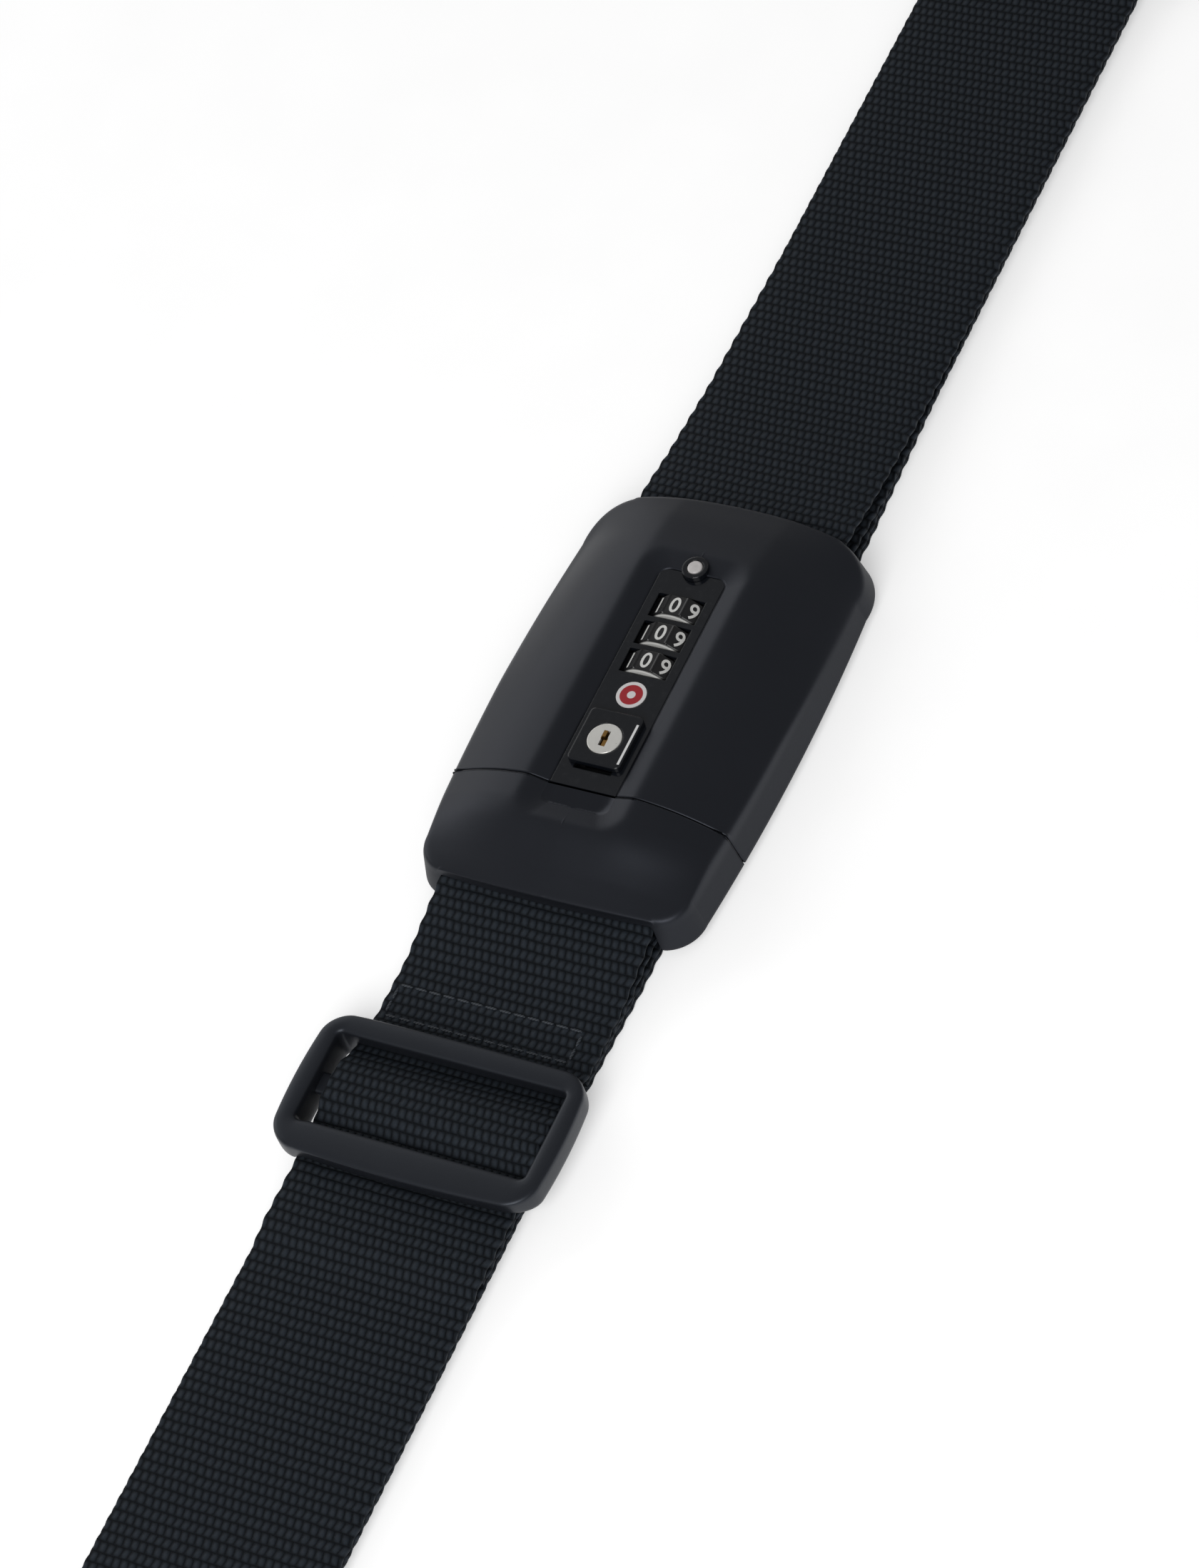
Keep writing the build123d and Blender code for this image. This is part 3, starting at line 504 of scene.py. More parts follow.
def rim_half(direction, parting, inset, radius):
    """A rounded rectangle's +Y half, from the parting to the middle of its end."""
    tip = (RIM[1] - inset) if direction > 0 else (RIM[0] + inset)
    half = RIM[2] - inset
    turn = np.linspace(0, np.pi / 2, 60)
    centre = np.array([tip - direction * radius, half - radius])
    corner = centre + radius * np.stack([direction * np.sin(turn), np.cos(turn)], axis=1)
    side = np.array([[parting, half], corner[0]])
    end = np.array([corner[-1], [tip, 0.0]])
    return half_ring(side, corner, end)


# %% The crown's height
MID = np.array(
    [(-31.4, 10.4), (-15.5, 17.9), (-12.0, 18.0), (50.0, 18.0), (56.5, 17.5), (65.0, 15.6), (74.6, 12.2)]
)
CREASE = np.array(
    [(-31.4, 9.6), (-24.0, 10.7), (-14.0, 11.2), (18.0, 11.2), (40.0, 9.7), (60.0, 8.0), (74.6, 9.0)]
)
RIDGE_HALF, CREASE_HALF = 12.8, 33.0
NOSE_START, NOSE_LENGTH = -12.0, 12.0
RIDGE_ROUND, NOSE_ROUND, CONVEXITY = 0.05, 0.45, 0.16


def rounded_table(x, table, reach=5.0):
    """Heights between the table's rows, averaged over a few millimetres so that no row is a kink."""
    offsets = np.linspace(-reach, reach, 11)
    weights = 1.0 + np.cos(np.pi * offsets / reach)
    nearby = np.interp(np.asarray(x)[..., None] + offsets, table[:, 0], table[:, 1])
    return nearby @ weights / weights.sum()


def crown(x, y):
    """Flat ridge, then a convex fall to the crease height at |y| = 33, rounder at the tongue's nose."""
    middle, edge = rounded_table(x, MID), rounded_table(x, CREASE)
    nose = np.clip((NOSE_START - x) / NOSE_LENGTH, 0, 1)
    out = (np.abs(y) - RIDGE_HALF) / (CREASE_HALF - RIDGE_HALF)
    fall = np.minimum(0.5 * (out + np.sqrt(out**2 + (RIDGE_ROUND + NOSE_ROUND * nose) ** 2)), 1.3)
    fall = fall - CONVEXITY * np.sin(np.pi * np.clip(fall, 0, 1)) * (1 - nose)
    return middle - (middle - edge) * fall


# %% Rings into a cover
WALL_DRAFT = np.tan(np.radians(11.0))
SLOT_HALF, SLOT_STEEPNESS = 25.4, 5.0
WALL_STEPS, CROWN_STEPS, BEVEL_STEPS = 18, 46, 9
RIM_RADIUS, FLOOR_RADIUS = 5.0, 2.6


def inset_ring(ring, amount):
    """A ring moved inwards along its own normal, with the parting's end kept on the parting."""
    tangent = np.gradient(ring, axis=0)
    tangent /= np.linalg.norm(tangent, axis=1)[:, None]
    inward = np.stack([tangent[:, 1], -tangent[:, 0]], axis=1)
    if inward[len(ring) // 3, 1] > 0:
        inward = -inward
    amount = np.broadcast_to(np.asarray(amount, float), (len(ring),))
    moved = ring + inward * amount[:, None]
    moved[0, 0] = ring[0, 0]
    moved[-1, 1] = 0.0
    return moved


def smoothed(values, passes):
    """Each ring moved towards the mean of its two neighbours, ends kept."""
    for _ in range(passes):
        values[1:-1] = 0.5 * values[1:-1] + 0.25 * (values[:-2] + values[2:])
    return values


def with_lip(points, direction, parting):
    """The edge at the parting turned in: a 0.3 mm round, then 0.8 mm of the wall's thickness."""
    section = points[:, 0, 1:]
    tangent = np.gradient(section, axis=0)
    tangent /= np.linalg.norm(tangent, axis=1)[:, None] + 1e-9
    inward = np.stack([tangent[:, 1], -tangent[:, 0]], axis=1)
    inward *= -np.sign(inward[len(inward) // 2, 1])
    columns = []
    for back, deep in ((0.0, 1.1), (0.0, 0.3), (0.09, 0.09)):
        column = points[:, 0].copy()
        column[:, 0] = parting + direction * back
        column[:, 1:] = section + inward * deep
        columns.append(column)
    points[:, 0, 0] = parting + direction * 0.3
    return np.concatenate([np.stack(columns, axis=1), points], axis=1)


def cad_copy(name, node, low=-1000.0, high=1000.0, shrink=1.0):
    """A CAD node's faces between two planes across X, merged, and shrunk a little towards the X axis."""
    shape = bmesh.new()
    shape.from_mesh(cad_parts[node].data)
    shape.transform(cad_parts[node].matrix_world)
    bmesh.ops.remove_doubles(shape, verts=shape.verts, dist=1e-6)
    outside = [face for face in shape.faces if any(not low < v.co.x / MM < high for v in face.verts)]
    bmesh.ops.delete(shape, geom=outside, context="FACES")
    bmesh.ops.scale(shape, vec=(1.0, shrink, shrink), verts=shape.verts)
    mesh = bpy.data.meshes.new(name)
    shape.to_mesh(mesh)
    shape.free()
    piece = bpy.data.objects.new(name, mesh)
    bpy.context.scene.collection.objects.link(piece)
    print(name, len(mesh.polygons), "faces")
    return piece


def cover_piece(name, direction, parting, slot_top):
    """Rings: inner wall, foot, side wall, crown, bevel and floor or lip, mirrored about Y = 0."""
    foot_plan = outline_half(direction, parting)
    in_slot = 1.0 / (1.0 + np.exp((foot_plan[:, 1] - SLOT_HALF) * SLOT_STEEPNESS))
    in_slot = in_slot * (np.arange(len(foot_plan)) > SIDE_STEPS)
    foot_z = FOOT + (slot_top - FOOT) * in_slot
    crease_plan = inset_ring(foot_plan, 0.0)
    for _ in range(3):
        crease_z = crown(crease_plan[:, 0], crease_plan[:, 1])
        crease_plan = inset_ring(foot_plan, (crease_z - FOOT) * WALL_DRAFT)
    rings = []
    inner = inset_ring(foot_plan, THICKNESS + (foot_z - FOOT) * WALL_DRAFT)
    inner_top = np.maximum(np.minimum(foot_z + 3.0, crease_z - 1.2), foot_z + 0.15)
    rings += [np.column_stack([inner, inner_top]), np.column_stack([inner, foot_z + 0.1])]
    for share in np.linspace(0, 1, WALL_STEPS)[:-1]:
        height = foot_z + (crease_z - foot_z) * share
        rings.append(np.column_stack([inset_ring(foot_plan, (height - FOOT) * WALL_DRAFT), height]))
    rim_plan = rim_half(direction, parting, 0.0, RIM_RADIUS)
    for share in np.linspace(0, 1, CROWN_STEPS):
        plan = crease_plan * (1 - share) + rim_plan * share
        rings.append(np.column_stack([plan, crown(plan[:, 0], plan[:, 1])]))
    bevel_plan = rim_half(direction, parting, BEVEL, FLOOR_RADIUS)
    rim_z = rings[-1][:, 2]
    for share in np.linspace(0, 1, BEVEL_STEPS)[1:]:
        plan = rim_plan * (1 - share) + bevel_plan * share
        rings.append(np.column_stack([plan, rim_z + (PLATE_TOP - rim_z) * share]))
    points = np.array(rings)
    first_wall = 3
    points[first_wall:, 1:-1] = smoothed(points[first_wall:, 1:-1].copy(), 5)
    if direction < 0:
        floor = points[-1].copy()
        for share in (0.3, 1.0):
            ring = floor.copy()
            ring[:, 1] *= 1 - share
            points = np.concatenate([points, ring[None]])
    else:
        lip = points[-1].copy()
        lip[:, 2] -= 0.5
        points = np.concatenate([points, lip[None]])
    points = with_lip(points, direction, parting)
    mirror = points[:, -2::-1] * np.array([1, -1, 1])
    whole = np.concatenate([points, mirror], axis=1)
    if direction < 0:
        whole = whole[:, ::-1]
    piece = grid_piece(name, whole)
    piece.data.materials.append(shell)
    print(name, len(piece.data.polygons), "faces")
    return piece


housing_cover = cover_piece("housing_cover_moulded", 1, PARTING + 0.12, 9.9)
tongue_cover = cover_piece("tongue_cover_moulded", -1, PARTING - 0.12, 9.0)
housing_wall = cad_copy("housing_front_wall", "housing_cover", PARTING - 0.2, PARTING + 2.2, 0.985)
tongue_wall = cad_copy("tongue_front_wall", "tongue_cover", PARTING - 2.2, PARTING + 0.2, 0.985)
for wall in (housing_wall, tongue_wall):
    wall.data.materials.append(shell)
housing_cover = joined("housing_cover_moulded", [housing_cover, housing_wall])
tongue_cover = joined("tongue_cover_moulded", [tongue_cover, tongue_wall])
for cover, body in ((housing_cover, "housing"), (tongue_cover, "tongue")):
    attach(cover, body)
    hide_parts(f"{body}_cover")

# %% [markdown]
# ## The adjuster
# The adjuster is one moulding: a barrel-shaped frame with a rectangular window and a bar across its
# middle, which the webbing hides. Its frame is a ring whose section is a rounded, slightly
# domed bar between the window's edge and the outer outline. The two rails beside the webbing
# reach down past it, most of all on their inner side.

# %% The adjuster's frame and centre bar
WINDOW = (-91.4, -70.5, 26.4)
OUTER = (-99.0, -65.5, 31.0)
ADJUSTER_Y = 1.5
BAR_LOW, RAIL_LOW, RAIL_SLOPE, FRAME_TOP = 6.3, 1.2, 3.6, 10.2
OUTER_BULGE = (1.2, 0.4, 1.2)
WINDOW_RADIUS, OUTER_RADIUS = 1.2, 5.5
CENTRE_BAR = (-80.95, 6.0)
CORNER_POINTS, SIDE_POINTS, SECTION_POINTS = 18, 40, 44


def rounded_box_ring(x0, x1, half, bulge, radius):
    """A rectangle with arcs for corners and bowed sides; also the direction that each point faces."""
    centre, reach = 0.5 * (x0 + x1), 0.5 * (x1 - x0)
    straight_x, straight_y = reach - radius, half - radius
    turn = np.linspace(0, np.pi / 2, CORNER_POINTS)
    share = np.linspace(0, 1, SIDE_POINTS + 2)[1:-1, None]
    line, facing = [], []
    for quarter, corner in enumerate(((1, 1), (-1, 1), (-1, -1), (1, -1))):
        angle = turn + quarter * np.pi / 2
        middle = np.array(corner) * (straight_x, straight_y)
        arc = middle + radius * np.stack([np.cos(angle), np.sin(angle)], axis=1)
        following = arc[-1] * ((-1, 1) if quarter % 2 == 0 else (1, -1))
        line += [arc, arc[-1] * (1 - share) + following * share]
        facing += [angle, np.full(SIDE_POINTS, angle[-1])]
    line, facing = np.concatenate(line), np.concatenate(facing)
    u, v = line[:, 0] / reach, line[:, 1] / half
    x = centre + line[:, 0] + np.where(u > 0, bulge[1], -bulge[0]) * u**2 * (1 - v**2)
    y = ADJUSTER_Y + line[:, 1] + np.sign(v) * bulge[2] * v**2 * (1 - u**2)
    return np.stack([x, y], axis=1), facing


def rounded_wave(wave, power):
    """A cosine or sine swollen towards a square wave, which squares up a round section."""
    return np.sign(wave) * np.abs(wave) ** power


def adjuster_piece():
    """Section angle goes from the window's edge over the top to the outer edge and back underneath."""
    inner, facing = rounded_box_ring(*WINDOW, (0.0, 0.0, 0.0), WINDOW_RADIUS)
    x0, x1, half = OUTER
    outer, facing = rounded_box_ring(
        x0 + OUTER_BULGE[0], x1 - OUTER_BULGE[1], half - OUTER_BULGE[2], OUTER_BULGE, OUTER_RADIUS
    )
    angle = np.linspace(0, 2 * np.pi, SECTION_POINTS, endpoint=False)
    share = 0.5 - 0.5 * rounded_wave(np.cos(angle), 0.36)
    lift = rounded_wave(np.sin(angle), 0.36)
    plan = inner[:, None, :] * (1 - share[None, :, None]) + outer[:, None, :] * share[None, :, None]
    past_webbing = np.clip((inner[:, 1] - 25.2) / 0.6, 0, 1)
    beside = np.maximum(np.sin(facing) ** 2, past_webbing)[:, None]
    low = BAR_LOW + (RAIL_LOW + RAIL_SLOPE * share[None, :] - BAR_LOW) * beside
    dome = 0.25 * np.maximum(lift, 0) * (np.sin(np.pi * share) - 1)
    height = 0.5 * (low + FRAME_TOP) + 0.5 * (FRAME_TOP - low) * lift + dome
    points = np.concatenate([plan, height[:, :, None]], axis=2)
    ring = grid_piece("adjuster_frame", points, ring=True, tube=True)
    along = np.linspace(-28.4, 28.4, 60)
    turn = np.linspace(0, 2 * np.pi, 24, endpoint=False)
    bar = np.empty((60, 24, 3))
    bar[..., 0] = CENTRE_BAR[0] + 2.5 * rounded_wave(np.cos(turn), 0.6)
    bar[..., 1] = along[:, None] + ADJUSTER_Y
    bar[..., 2] = CENTRE_BAR[1] + 1.0 * rounded_wave(np.sin(turn), 0.6)
    bar_piece = grid_piece("adjuster_bar", bar, tube=True)
    return joined("tri_glide_moulded", [ring, bar_piece])


def adjuster_finish():
    plastic = Finish(
        "adjuster plastic", Specular_IOR_Level=0.45, Specular_Tint=rgb(0.80, 0.87, 1.0)
    )
    grain = plastic.noise(3000.0, 2.0)
    cloud = plastic.noise(80.0, 3.0)
    plastic.feed(
        Base_Color=plastic.mix(cloud, rgb(0.0085, 0.0095, 0.0125), rgb(0.0115, 0.0130, 0.0165)),
        Roughness=0.34 + grain * 0.1,
        Normal=plastic.bump(grain, 0.00003, 0.4),
    )
    return plastic.material


adjuster = adjuster_piece()
adjuster.data.materials.append(adjuster_finish())
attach(adjuster, "tongue")
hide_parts("tri_glide_adjuster")
print("adjuster", len(adjuster.data.polygons), "faces")

# %% [markdown]
# ## Stitching
# The box of stitching holds the end of the webbing under the top ply. Each stitch is a short bead of
# thread, pulled into the webbing at both ends.

# %% Rows of stitches
STITCH = 3.1


def stitch_piece(name, rows, top, height):
    """Beads whose radius swells as a sine to the 0.6 along each stitch; rows are (x0, y0, x1, y1)."""
    u, v = np.linspace(0, np.pi, 9), np.linspace(0, 2 * np.pi, 8, endpoint=False)
    beads = []
    for x0, y0, x1, y1 in rows:
        run = np.hypot(x1 - x0, y1 - y0)
        count = int(run / STITCH)
        direction = np.array([x1 - x0, y1 - y0]) / run
        for k in range(count):
            middle = np.array([x0, y0]) + direction * (k + 0.5) * run / count
            reach = 0.42 * run / count
            along = -np.cos(u)[:, None] * reach
            girth = np.sin(u)[:, None] ** 0.6
            across = 0.34 * girth * np.cos(v)
            points = np.empty((9, 8, 3))
            points[..., 0] = middle[0] + direction[0] * along - direction[1] * across
            points[..., 1] = middle[1] + direction[1] * along + direction[0] * across
            points[..., 2] = top + height * girth * np.sin(v)
            beads.append(grid_piece("bead", points, tube=True))
    piece = joined(name, beads)
    piece.data.materials.append(thread)
    print(name, len(beads), "stitches")
    return piece


WEBBING_TOP = PLY_4 + PLY / 2
box_rows = [
    (-54.0, -19.6, -54.0, 23.2), (-61.6, 23.2, -61.6, -19.6),
    (-54.6, 23.2, -61.0, 23.2), (-54.6, -19.6, -61.0, -19.6),
]
tail_rows = [(-104.0, -21.0, -104.0, 21.0), (-110.0, -21.0, -110.0, 21.0)]
box_stitches = stitch_piece("box_stitching", box_rows, WEBBING_TOP + 0.02, 0.22)
tail_stitches = stitch_piece("tail_stitching", tail_rows, WEBBING_TOP + 0.06, 0.06)
for piece, node in ((box_stitches, "tongue_stitching"), (tail_stitches, "adjuster_stitching")):
    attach(piece, "tongue")
    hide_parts(node)

# %% [markdown]
# ## The dials
# Each dial is a ten-sided wheel with a small rib on every corner and a digit on every flat. The
# wheel is a surface round the X axis whose radius depends on the angle. The side towards the
# button is painted white, and shows as a thin crescent in the window.

# %% Wheels and digits
DIAL_X = (41.7, 34.3, 26.9)
DIAL_Z = 11.2
DIAL_HALF = 2.8
FLAT = 6.78


def dial_wheel(name, centre_x):
    """Radius = the flat's distance over the cosine of the angle from its middle, plus a corner rib."""
    angle = np.linspace(0, 2 * np.pi, 320, endpoint=False)
    local = (angle + np.pi / 10) % (np.pi / 5) - np.pi / 10
    radius = np.minimum(FLAT / np.cos(local), 7.08)
    radius = radius + 0.16 * np.exp(-((np.abs(local) - np.pi / 10) / 0.035) ** 2)
    left = [(-2.8, 3.1), (-2.8, 6.2), (-2.62, 6.45), (-2.5, 0.0), (-2.3, 0.0)]
    across = np.array(left + [(-x, r) for x, r in reversed(left)])
    insets = np.where(np.isin(np.abs(across[:, 0]), 2.5), 0.18, 0.0)
    points = np.empty((len(angle), len(across), 3))
    reach = np.where(across[None, :, 1] > 0, across[None, :, 1], radius[:, None] - insets[None, :])
    points[..., 0] = centre_x + across[None, :, 0]
    points[..., 1] = reach * np.sin(angle)[:, None]
    points[..., 2] = DIAL_Z + reach * np.cos(angle)[:, None]
    wheel = grid_piece(name, points[:, ::-1], ring=True, tube=True)
    wheel.data.polygons.foreach_set("use_smooth", np.zeros(len(wheel.data.polygons), bool))
    return wheel


def digit_mesh(digit):
    """Blender's own letter shape for one digit, centred, 1 unit high, as a flat mesh."""
    curve = bpy.data.curves.new(f"digit_{digit}", "FONT")
    curve.body = str(digit)
    curve.resolution_u = 6
    curve.offset = 0.012
    text = bpy.data.objects.new(f"digit_{digit}", curve)
    bpy.context.scene.collection.objects.link(text)
    bpy.context.view_layer.update()
    shown = text.evaluated_get(bpy.context.evaluated_depsgraph_get())
    mesh = bpy.data.meshes.new_from_object(shown)
    bpy.data.objects.remove(text)
    points = np.empty(len(mesh.vertices) * 3)
    mesh.vertices.foreach_get("co", points)
    points = points.reshape(-1, 3)
    low, high = points.min(0), points.max(0)
    points = (points - (low + high) / 2) / (high[1] - low[1])
    faces = [tuple(face.vertices) for face in mesh.polygons]
    bpy.data.meshes.remove(mesh)
    return points, faces


DIGITS = [digit_mesh(k) for k in range(10)]


def dial_digits(name, centre_x):
    """Digit k lies on flat k: its right is towards -Y on the top flat, and its top is towards +X."""
    corners, faces = [], []
    for k, (shape, loops) in enumerate(DIGITS):
        turn = k * np.pi / 5
        right = np.array([0.0, -np.cos(turn), np.sin(turn)])
        up = np.array([1.0, 0.0, 0.0])
        out = np.array([0.0, np.sin(turn), np.cos(turn)])
        middle = np.array([centre_x, 0.0, DIAL_Z]) + out * (FLAT + 0.03)
        start = sum(len(c) for c in corners)
        corners.append(middle + shape[:, :1] * 3.5 * right + shape[:, 1:2] * 3.9 * up)
        faces += [tuple(start + v for v in loop) for loop in loops]
    mesh = bpy.data.meshes.new(name)
    mesh.from_pydata((np.concatenate(corners) * MM).tolist(), [], faces)
    piece = bpy.data.objects.new(name, mesh)
    bpy.context.scene.collection.objects.link(piece)
    return piece


def wheel_finish(name, centre_x):
    """Black, with the side face and its chamfer on the -X side painted white."""
    wheel = Finish(name, Roughness=0.25, Specular_IOR_Level=0.5)
    x, y, z = wheel.position()
    painted = 1.0 - x.between(centre_x - DIAL_HALF + 0.12, centre_x - DIAL_HALF + 0.3)
    dust = wheel.noise(900.0, 3.0)
    wheel.feed(
        Base_Color=wheel.mix(painted, rgb(0.006, 0.006, 0.007), rgb(0.62, 0.62, 0.60)),
        Roughness=0.2 + dust * 0.2,
    )
    return wheel.material


def digit_finish():
    paint = Finish("digit paint", Roughness=0.45)
    speck = paint.noise(1500.0, 3.0)
    paint.feed(Base_Color=paint.mix(speck, rgb(0.60, 0.60, 0.58), rgb(0.82, 0.82, 0.80)))
    return paint.material


digit_paint = digit_finish()
for number, centre_x in enumerate(DIAL_X, start=1):
    wheel = dial_wheel(f"dial_{number}_wheel", centre_x)
    wheel.data.materials.append(wheel_finish(f"dial {number} wheel", centre_x))
    digits = dial_digits(f"dial_{number}_digits", centre_x)
    digits.data.materials.append(digit_paint)
    for piece in (wheel, digits):
        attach(piece, f"dial_{number}_body")
    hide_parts(f"dial_{number}")
print("dials made")

# %% [markdown]
# ## Finishes of the parts that come from the frame
# The lock plate, the button, the key plug, the reset button, the badge and the inner parts keep
# their CAD shapes. Each gets its own finish, and on the glossy ones a Bevel node rounds the
# light on their edges.

# %% Gloss, metal and inner plastic
def gloss_finish(name, dark, light, rough):
    """Polished plastic: a little dust and the faint waviness of a moulded face."""
    gloss = Finish(name, Specular_IOR_Level=0.5)
    dust = gloss.noise(700.0, 4.0)
    wave = gloss.noise(120.0, 1.0)
    gloss.feed(
        Base_Color=gloss.mix(dust, dark, light),
        Roughness=rough + dust.between(0.5, 0.8) * 0.12,
        Normal=gloss.bump(wave, 0.00004, 0.3, gloss.rounded_edges(0.00035)),
    )
    return gloss.material


def metal_finish(name, dark, light, rough, streak):
    """Metal with fine streaks along one direction of the part."""
    metal = Finish(name, Metallic=1.0)
    place = metal.add("ShaderNodeTexCoord", output="Object")
    stretched = metal.add("ShaderNodeMapping", {}, {"Vector": place, "Scale": streak})
    lines = metal.add("ShaderNodeTexNoise", {}, {"Vector": stretched, "Scale": 1.0, "Detail": 4.0})
    metal.feed(
        Base_Color=metal.mix(lines, dark, light),
        Roughness=rough + lines * 0.15,
        Normal=metal.bump(lines, 0.00002, 0.4),
    )
    return metal.material


def key_finish():
    """Nickel outside, and bare brass in the keyway, in two offset bars round it and on the barrel."""
    key = Finish("key plug metal")
    x, y, z = key.position()
    upper_width = 1.0 - (y - 0.40).math("ABSOLUTE").between(0.42, 0.48)
    lower_width = 1.0 - (y + 0.40).math("ABSOLUTE").between(0.42, 0.48)
    upper = upper_width * x.between(5.78, 5.84) * (1.0 - x.between(7.9, 8.0))
    lower = lower_width * (1.0 - x.between(6.16, 6.22)) * x.between(4.0, 4.1)
    bright = z.between(PLATE_TOP + 0.9, PLATE_TOP + 1.2) * (1.0 - upper) * (1.0 - lower)
    spin = key.noise(900.0, 3.0)
    key.feed(
        Base_Color=key.mix(bright, rgb(0.30, 0.17, 0.05), rgb(0.80, 0.79, 0.75)),
        Metallic=0.9 - bright * 0.25,
        Roughness=0.22 + spin * 0.2,
    )
    return key.material


def badge_finish():
    """A plain inlay: a pale rim round a muted red face."""
    badge = Finish("round inlay", Roughness=0.3)
    x, y, z = badge.position()
    distance = ((x - 18.6) ** 2.0 + y.math("ABSOLUTE") ** 2.0) ** 0.5
    rim = distance.between(2.45, 2.6)
    core = 1.0 - distance.between(0.85, 1.0)
    face = badge.mix(core, rgb(0.36, 0.012, 0.020), rgb(0.72, 0.70, 0.70))
    badge.feed(Base_Color=badge.mix(rim, face, rgb(0.72, 0.70, 0.70)))
    return badge.material


def button_finish(dark, light):
    """Gloss black, with a pale strip in the base colour along the -Y side of the button's top."""
    button = Finish("button gloss", Specular_IOR_Level=0.5)
    x, y, z = button.position()
    beside = 1.0 - (y + 5.55).math("ABSOLUTE").between(0.22, 0.30)
    on_top = z.between(PLATE_TOP + 0.9, PLATE_TOP + 1.0)
    pale = beside * on_top * x.between(0.6, 0.7) * (1.0 - x.between(10.9, 11.0))
    dust = button.noise(700.0, 4.0)
    button.feed(
        Base_Color=button.mix(pale, button.mix(dust, dark, light), rgb(0.80, 0.80, 0.80)),
        Roughness=0.10 + dust.between(0.5, 0.8) * 0.12,
        Normal=button.bump(dust, 0.00001, 0.2, button.rounded_edges(0.0004)),
    )
    return button.material


plate_gloss = gloss_finish(
    "lock plate gloss", rgb(0.0050, 0.0062, 0.0088), rgb(0.0066, 0.0080, 0.0112), 0.12
)
button_gloss = button_finish(rgb(0.0046, 0.0056, 0.0080), rgb(0.0062, 0.0075, 0.0104))
reset_clear = gloss_finish("reset button", rgb(0.50, 0.48, 0.47), rgb(0.72, 0.70, 0.69), 0.2)
steel = metal_finish(
    "pressed steel", rgb(0.36, 0.36, 0.37), rgb(0.55, 0.55, 0.56), 0.28, (400.0, 4000.0, 4000.0)
)
wire = metal_finish(
    "spring wire", rgb(0.40, 0.40, 0.41), rgb(0.62, 0.62, 0.63), 0.22, (3000.0, 3000.0, 900.0)
)
inner = gloss_finish("inner plastic", rgb(0.030, 0.031, 0.034), rgb(0.045, 0.046, 0.050), 0.45)

# %% Give each CAD node its finish
NODE_FINISH = {
    "housing_base": shell, "tongue_base": shell,
    "housing_screws": steel, "tongue_screws": steel,
    "housing_webbing_bar": steel, "tongue_webbing_bar": steel,
    "tongue_blade": steel, "blade_rivets": steel, "dial_chassis": steel, "dial_spindle": steel,
    "latch_bolt": steel, "key_cam": steel,
    "detent_spring": wire, "reset_spring": wire, "release_spring": wire, "latch_springs": wire,
    "clutch_sleeve_1": inner, "clutch_sleeve_2": inner, "clutch_sleeve_3": inner,
    "slider_carriage": inner,
    "lock_plate": plate_gloss, "release_button": button_gloss, "reset_collar": button_gloss,
    "reset_button": reset_clear, "key_plug": key_finish(), "round_badge": badge_finish(),
}
for node, finish in NODE_FINISH.items():
    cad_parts[node].data.materials.clear()
    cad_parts[node].data.materials.append(finish)
print(len(NODE_FINISH), "CAD nodes finished")

# %% The reset spring, which shortens when the reset button is pressed: here a copy of its CAD coils in the wire finish, baked in place
reset_spring = cad_copy("reset_spring_coils", "reset_spring")
reset_spring.data.materials.append(wire)
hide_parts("reset_spring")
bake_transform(reset_spring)

# %% [markdown]
# ## The table, the light and the camera
# A pale floor, which glows a little so that it stays near white, under soft lights. The low light
# stands behind and to the left of the buckle, so the left flank of the covers and the recess's
# right bevel are the brightest, and the near flank stays dark.

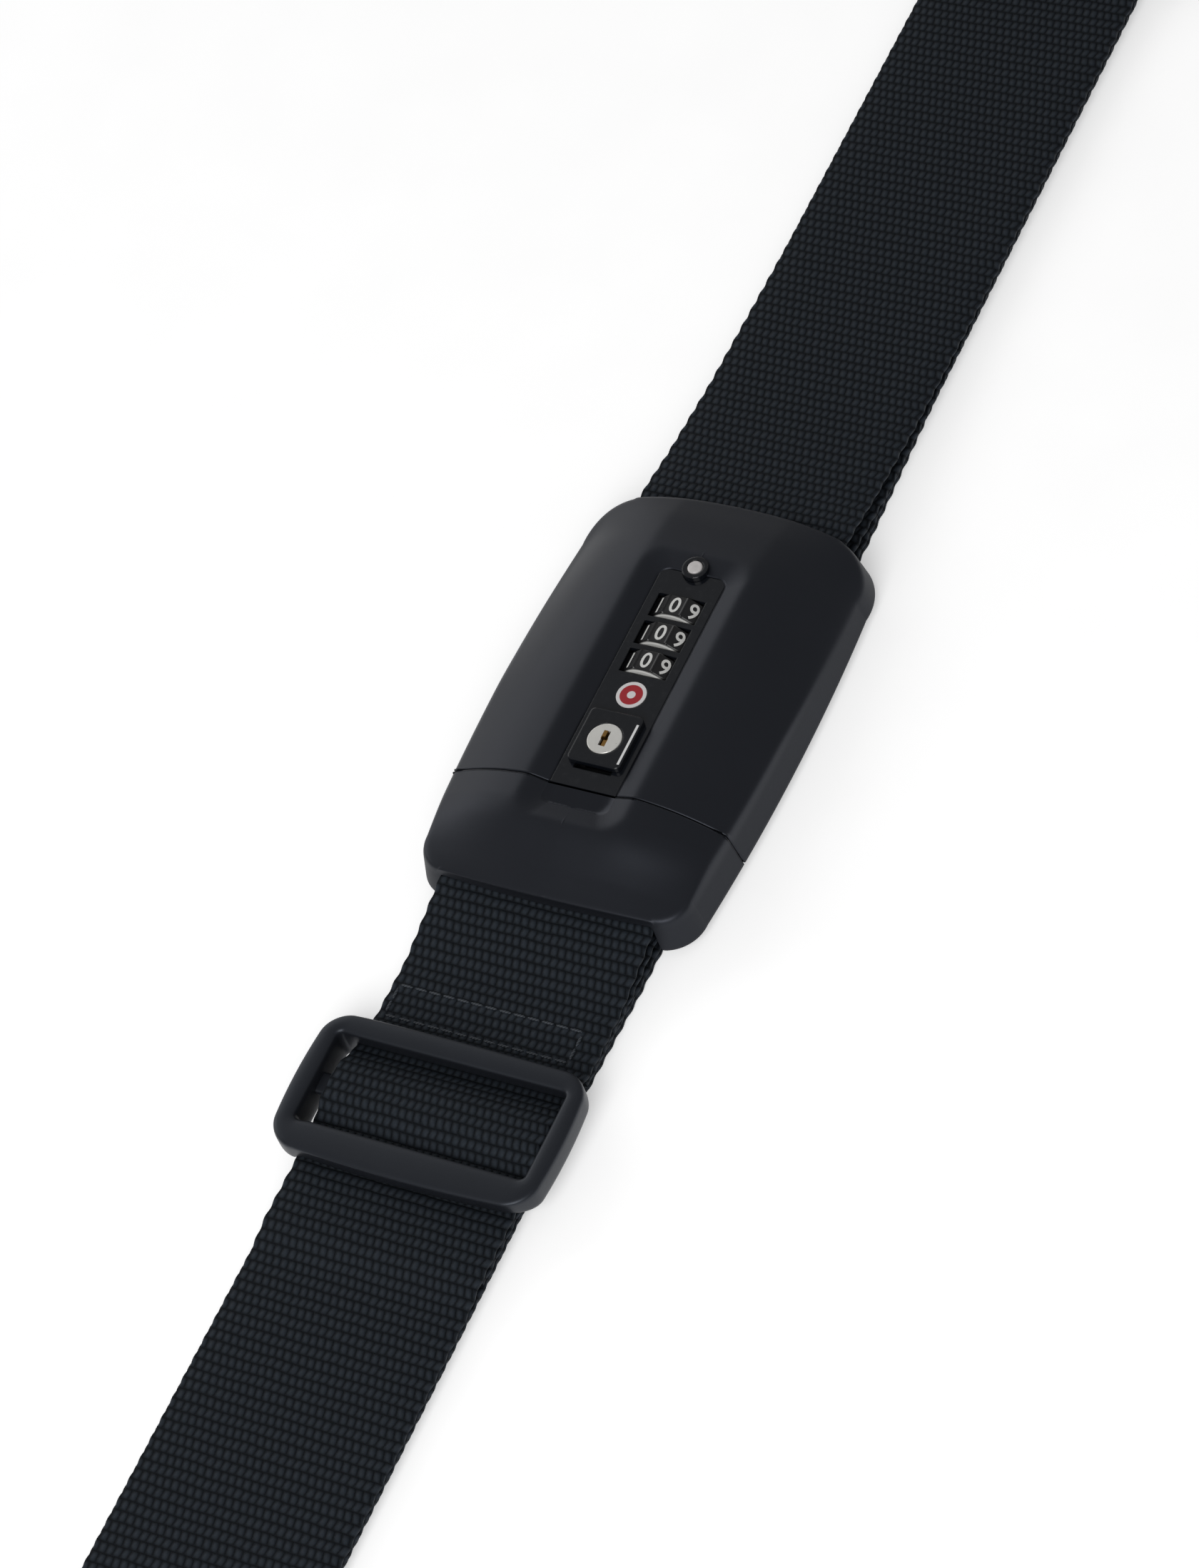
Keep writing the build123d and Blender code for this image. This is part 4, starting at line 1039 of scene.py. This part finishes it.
# %% Floor
def floor_piece():
    edge = np.array([-2500.0, 2500.0])
    x, y = np.meshgrid(edge, edge, indexing="ij")
    points = np.stack([x, y, np.full_like(x, -0.02)], axis=-1)
    floor = grid_piece("pale floor", points)
    paper = Finish("lit pale paper", Roughness=0.9, Specular_IOR_Level=0.1, Emission_Strength=0.45)
    tone = paper.mix(paper.noise(40.0, 2.0), rgb(0.90, 0.90, 0.90), rgb(0.93, 0.93, 0.93))
    paper.feed(Base_Color=tone, Emission_Color=tone)
    floor.data.materials.append(paper.material)
    return floor


floor_piece()

# %% Lights
def softbox(name, place, size, power, aim=(0.0, 0.0, 0.01)):
    lamp = bpy.data.lights.new(name, "AREA")
    lamp.shape = "RECTANGLE"
    lamp.size, lamp.size_y = size
    lamp.energy = power
    piece = bpy.data.objects.new(name, lamp)
    piece.location = place
    piece.rotation_euler = (Vector(aim) - Vector(place)).to_track_quat("-Z", "Y").to_euler()
    bpy.context.scene.collection.objects.link(piece)


softbox("low light behind the left flank", (0.68, 1.2, 0.72), (1.2, 0.9), 3.5)
softbox("small light for the tongue's left corner", (-0.03, 1.35, 0.62), (0.5, 0.5), 1.5)
softbox("light from the tongue's side", (-1.0, -0.3, 0.9), (0.8, 0.8), 10.0)
world = bpy.data.worlds.new("studio")
world.use_nodes = True
world.node_tree.nodes["Background"].inputs["Color"].default_value = rgb(1.0, 1.0, 1.0)
world.node_tree.nodes["Background"].inputs["Strength"].default_value = 0.28
bpy.context.scene.world = world
bpy.context.scene.view_settings.view_transform = "Standard"

# %% Camera
LENS = 156.9
DISTANCE = 1.079
ELEVATION, AZIMUTH, ROLL = np.radians([51.09, 46.39, 23.18])
aim = Vector((0.0, 0.00067, 0.010))
level = -np.cos(ELEVATION)
towards = Vector((level * np.sin(AZIMUTH), level * np.cos(AZIMUTH), np.sin(ELEVATION)))
right = (-towards).cross(Vector((0, 0, 1))).normalized()
upright = right.cross(-towards)
across = right * np.cos(ROLL) - upright * np.sin(ROLL)
up = right * np.sin(ROLL) + upright * np.cos(ROLL)
camera = bpy.data.objects.new("camera", bpy.data.cameras.new("camera"))
camera.data.lens = LENS
camera.data.sensor_width = 36.0
camera.data.sensor_fit = "HORIZONTAL"
turned = Matrix((across, up, towards)).transposed().to_4x4()
camera.matrix_world = Matrix.Translation(aim + towards * DISTANCE) @ turned
bpy.context.scene.collection.objects.link(camera)
bpy.context.scene.camera = camera
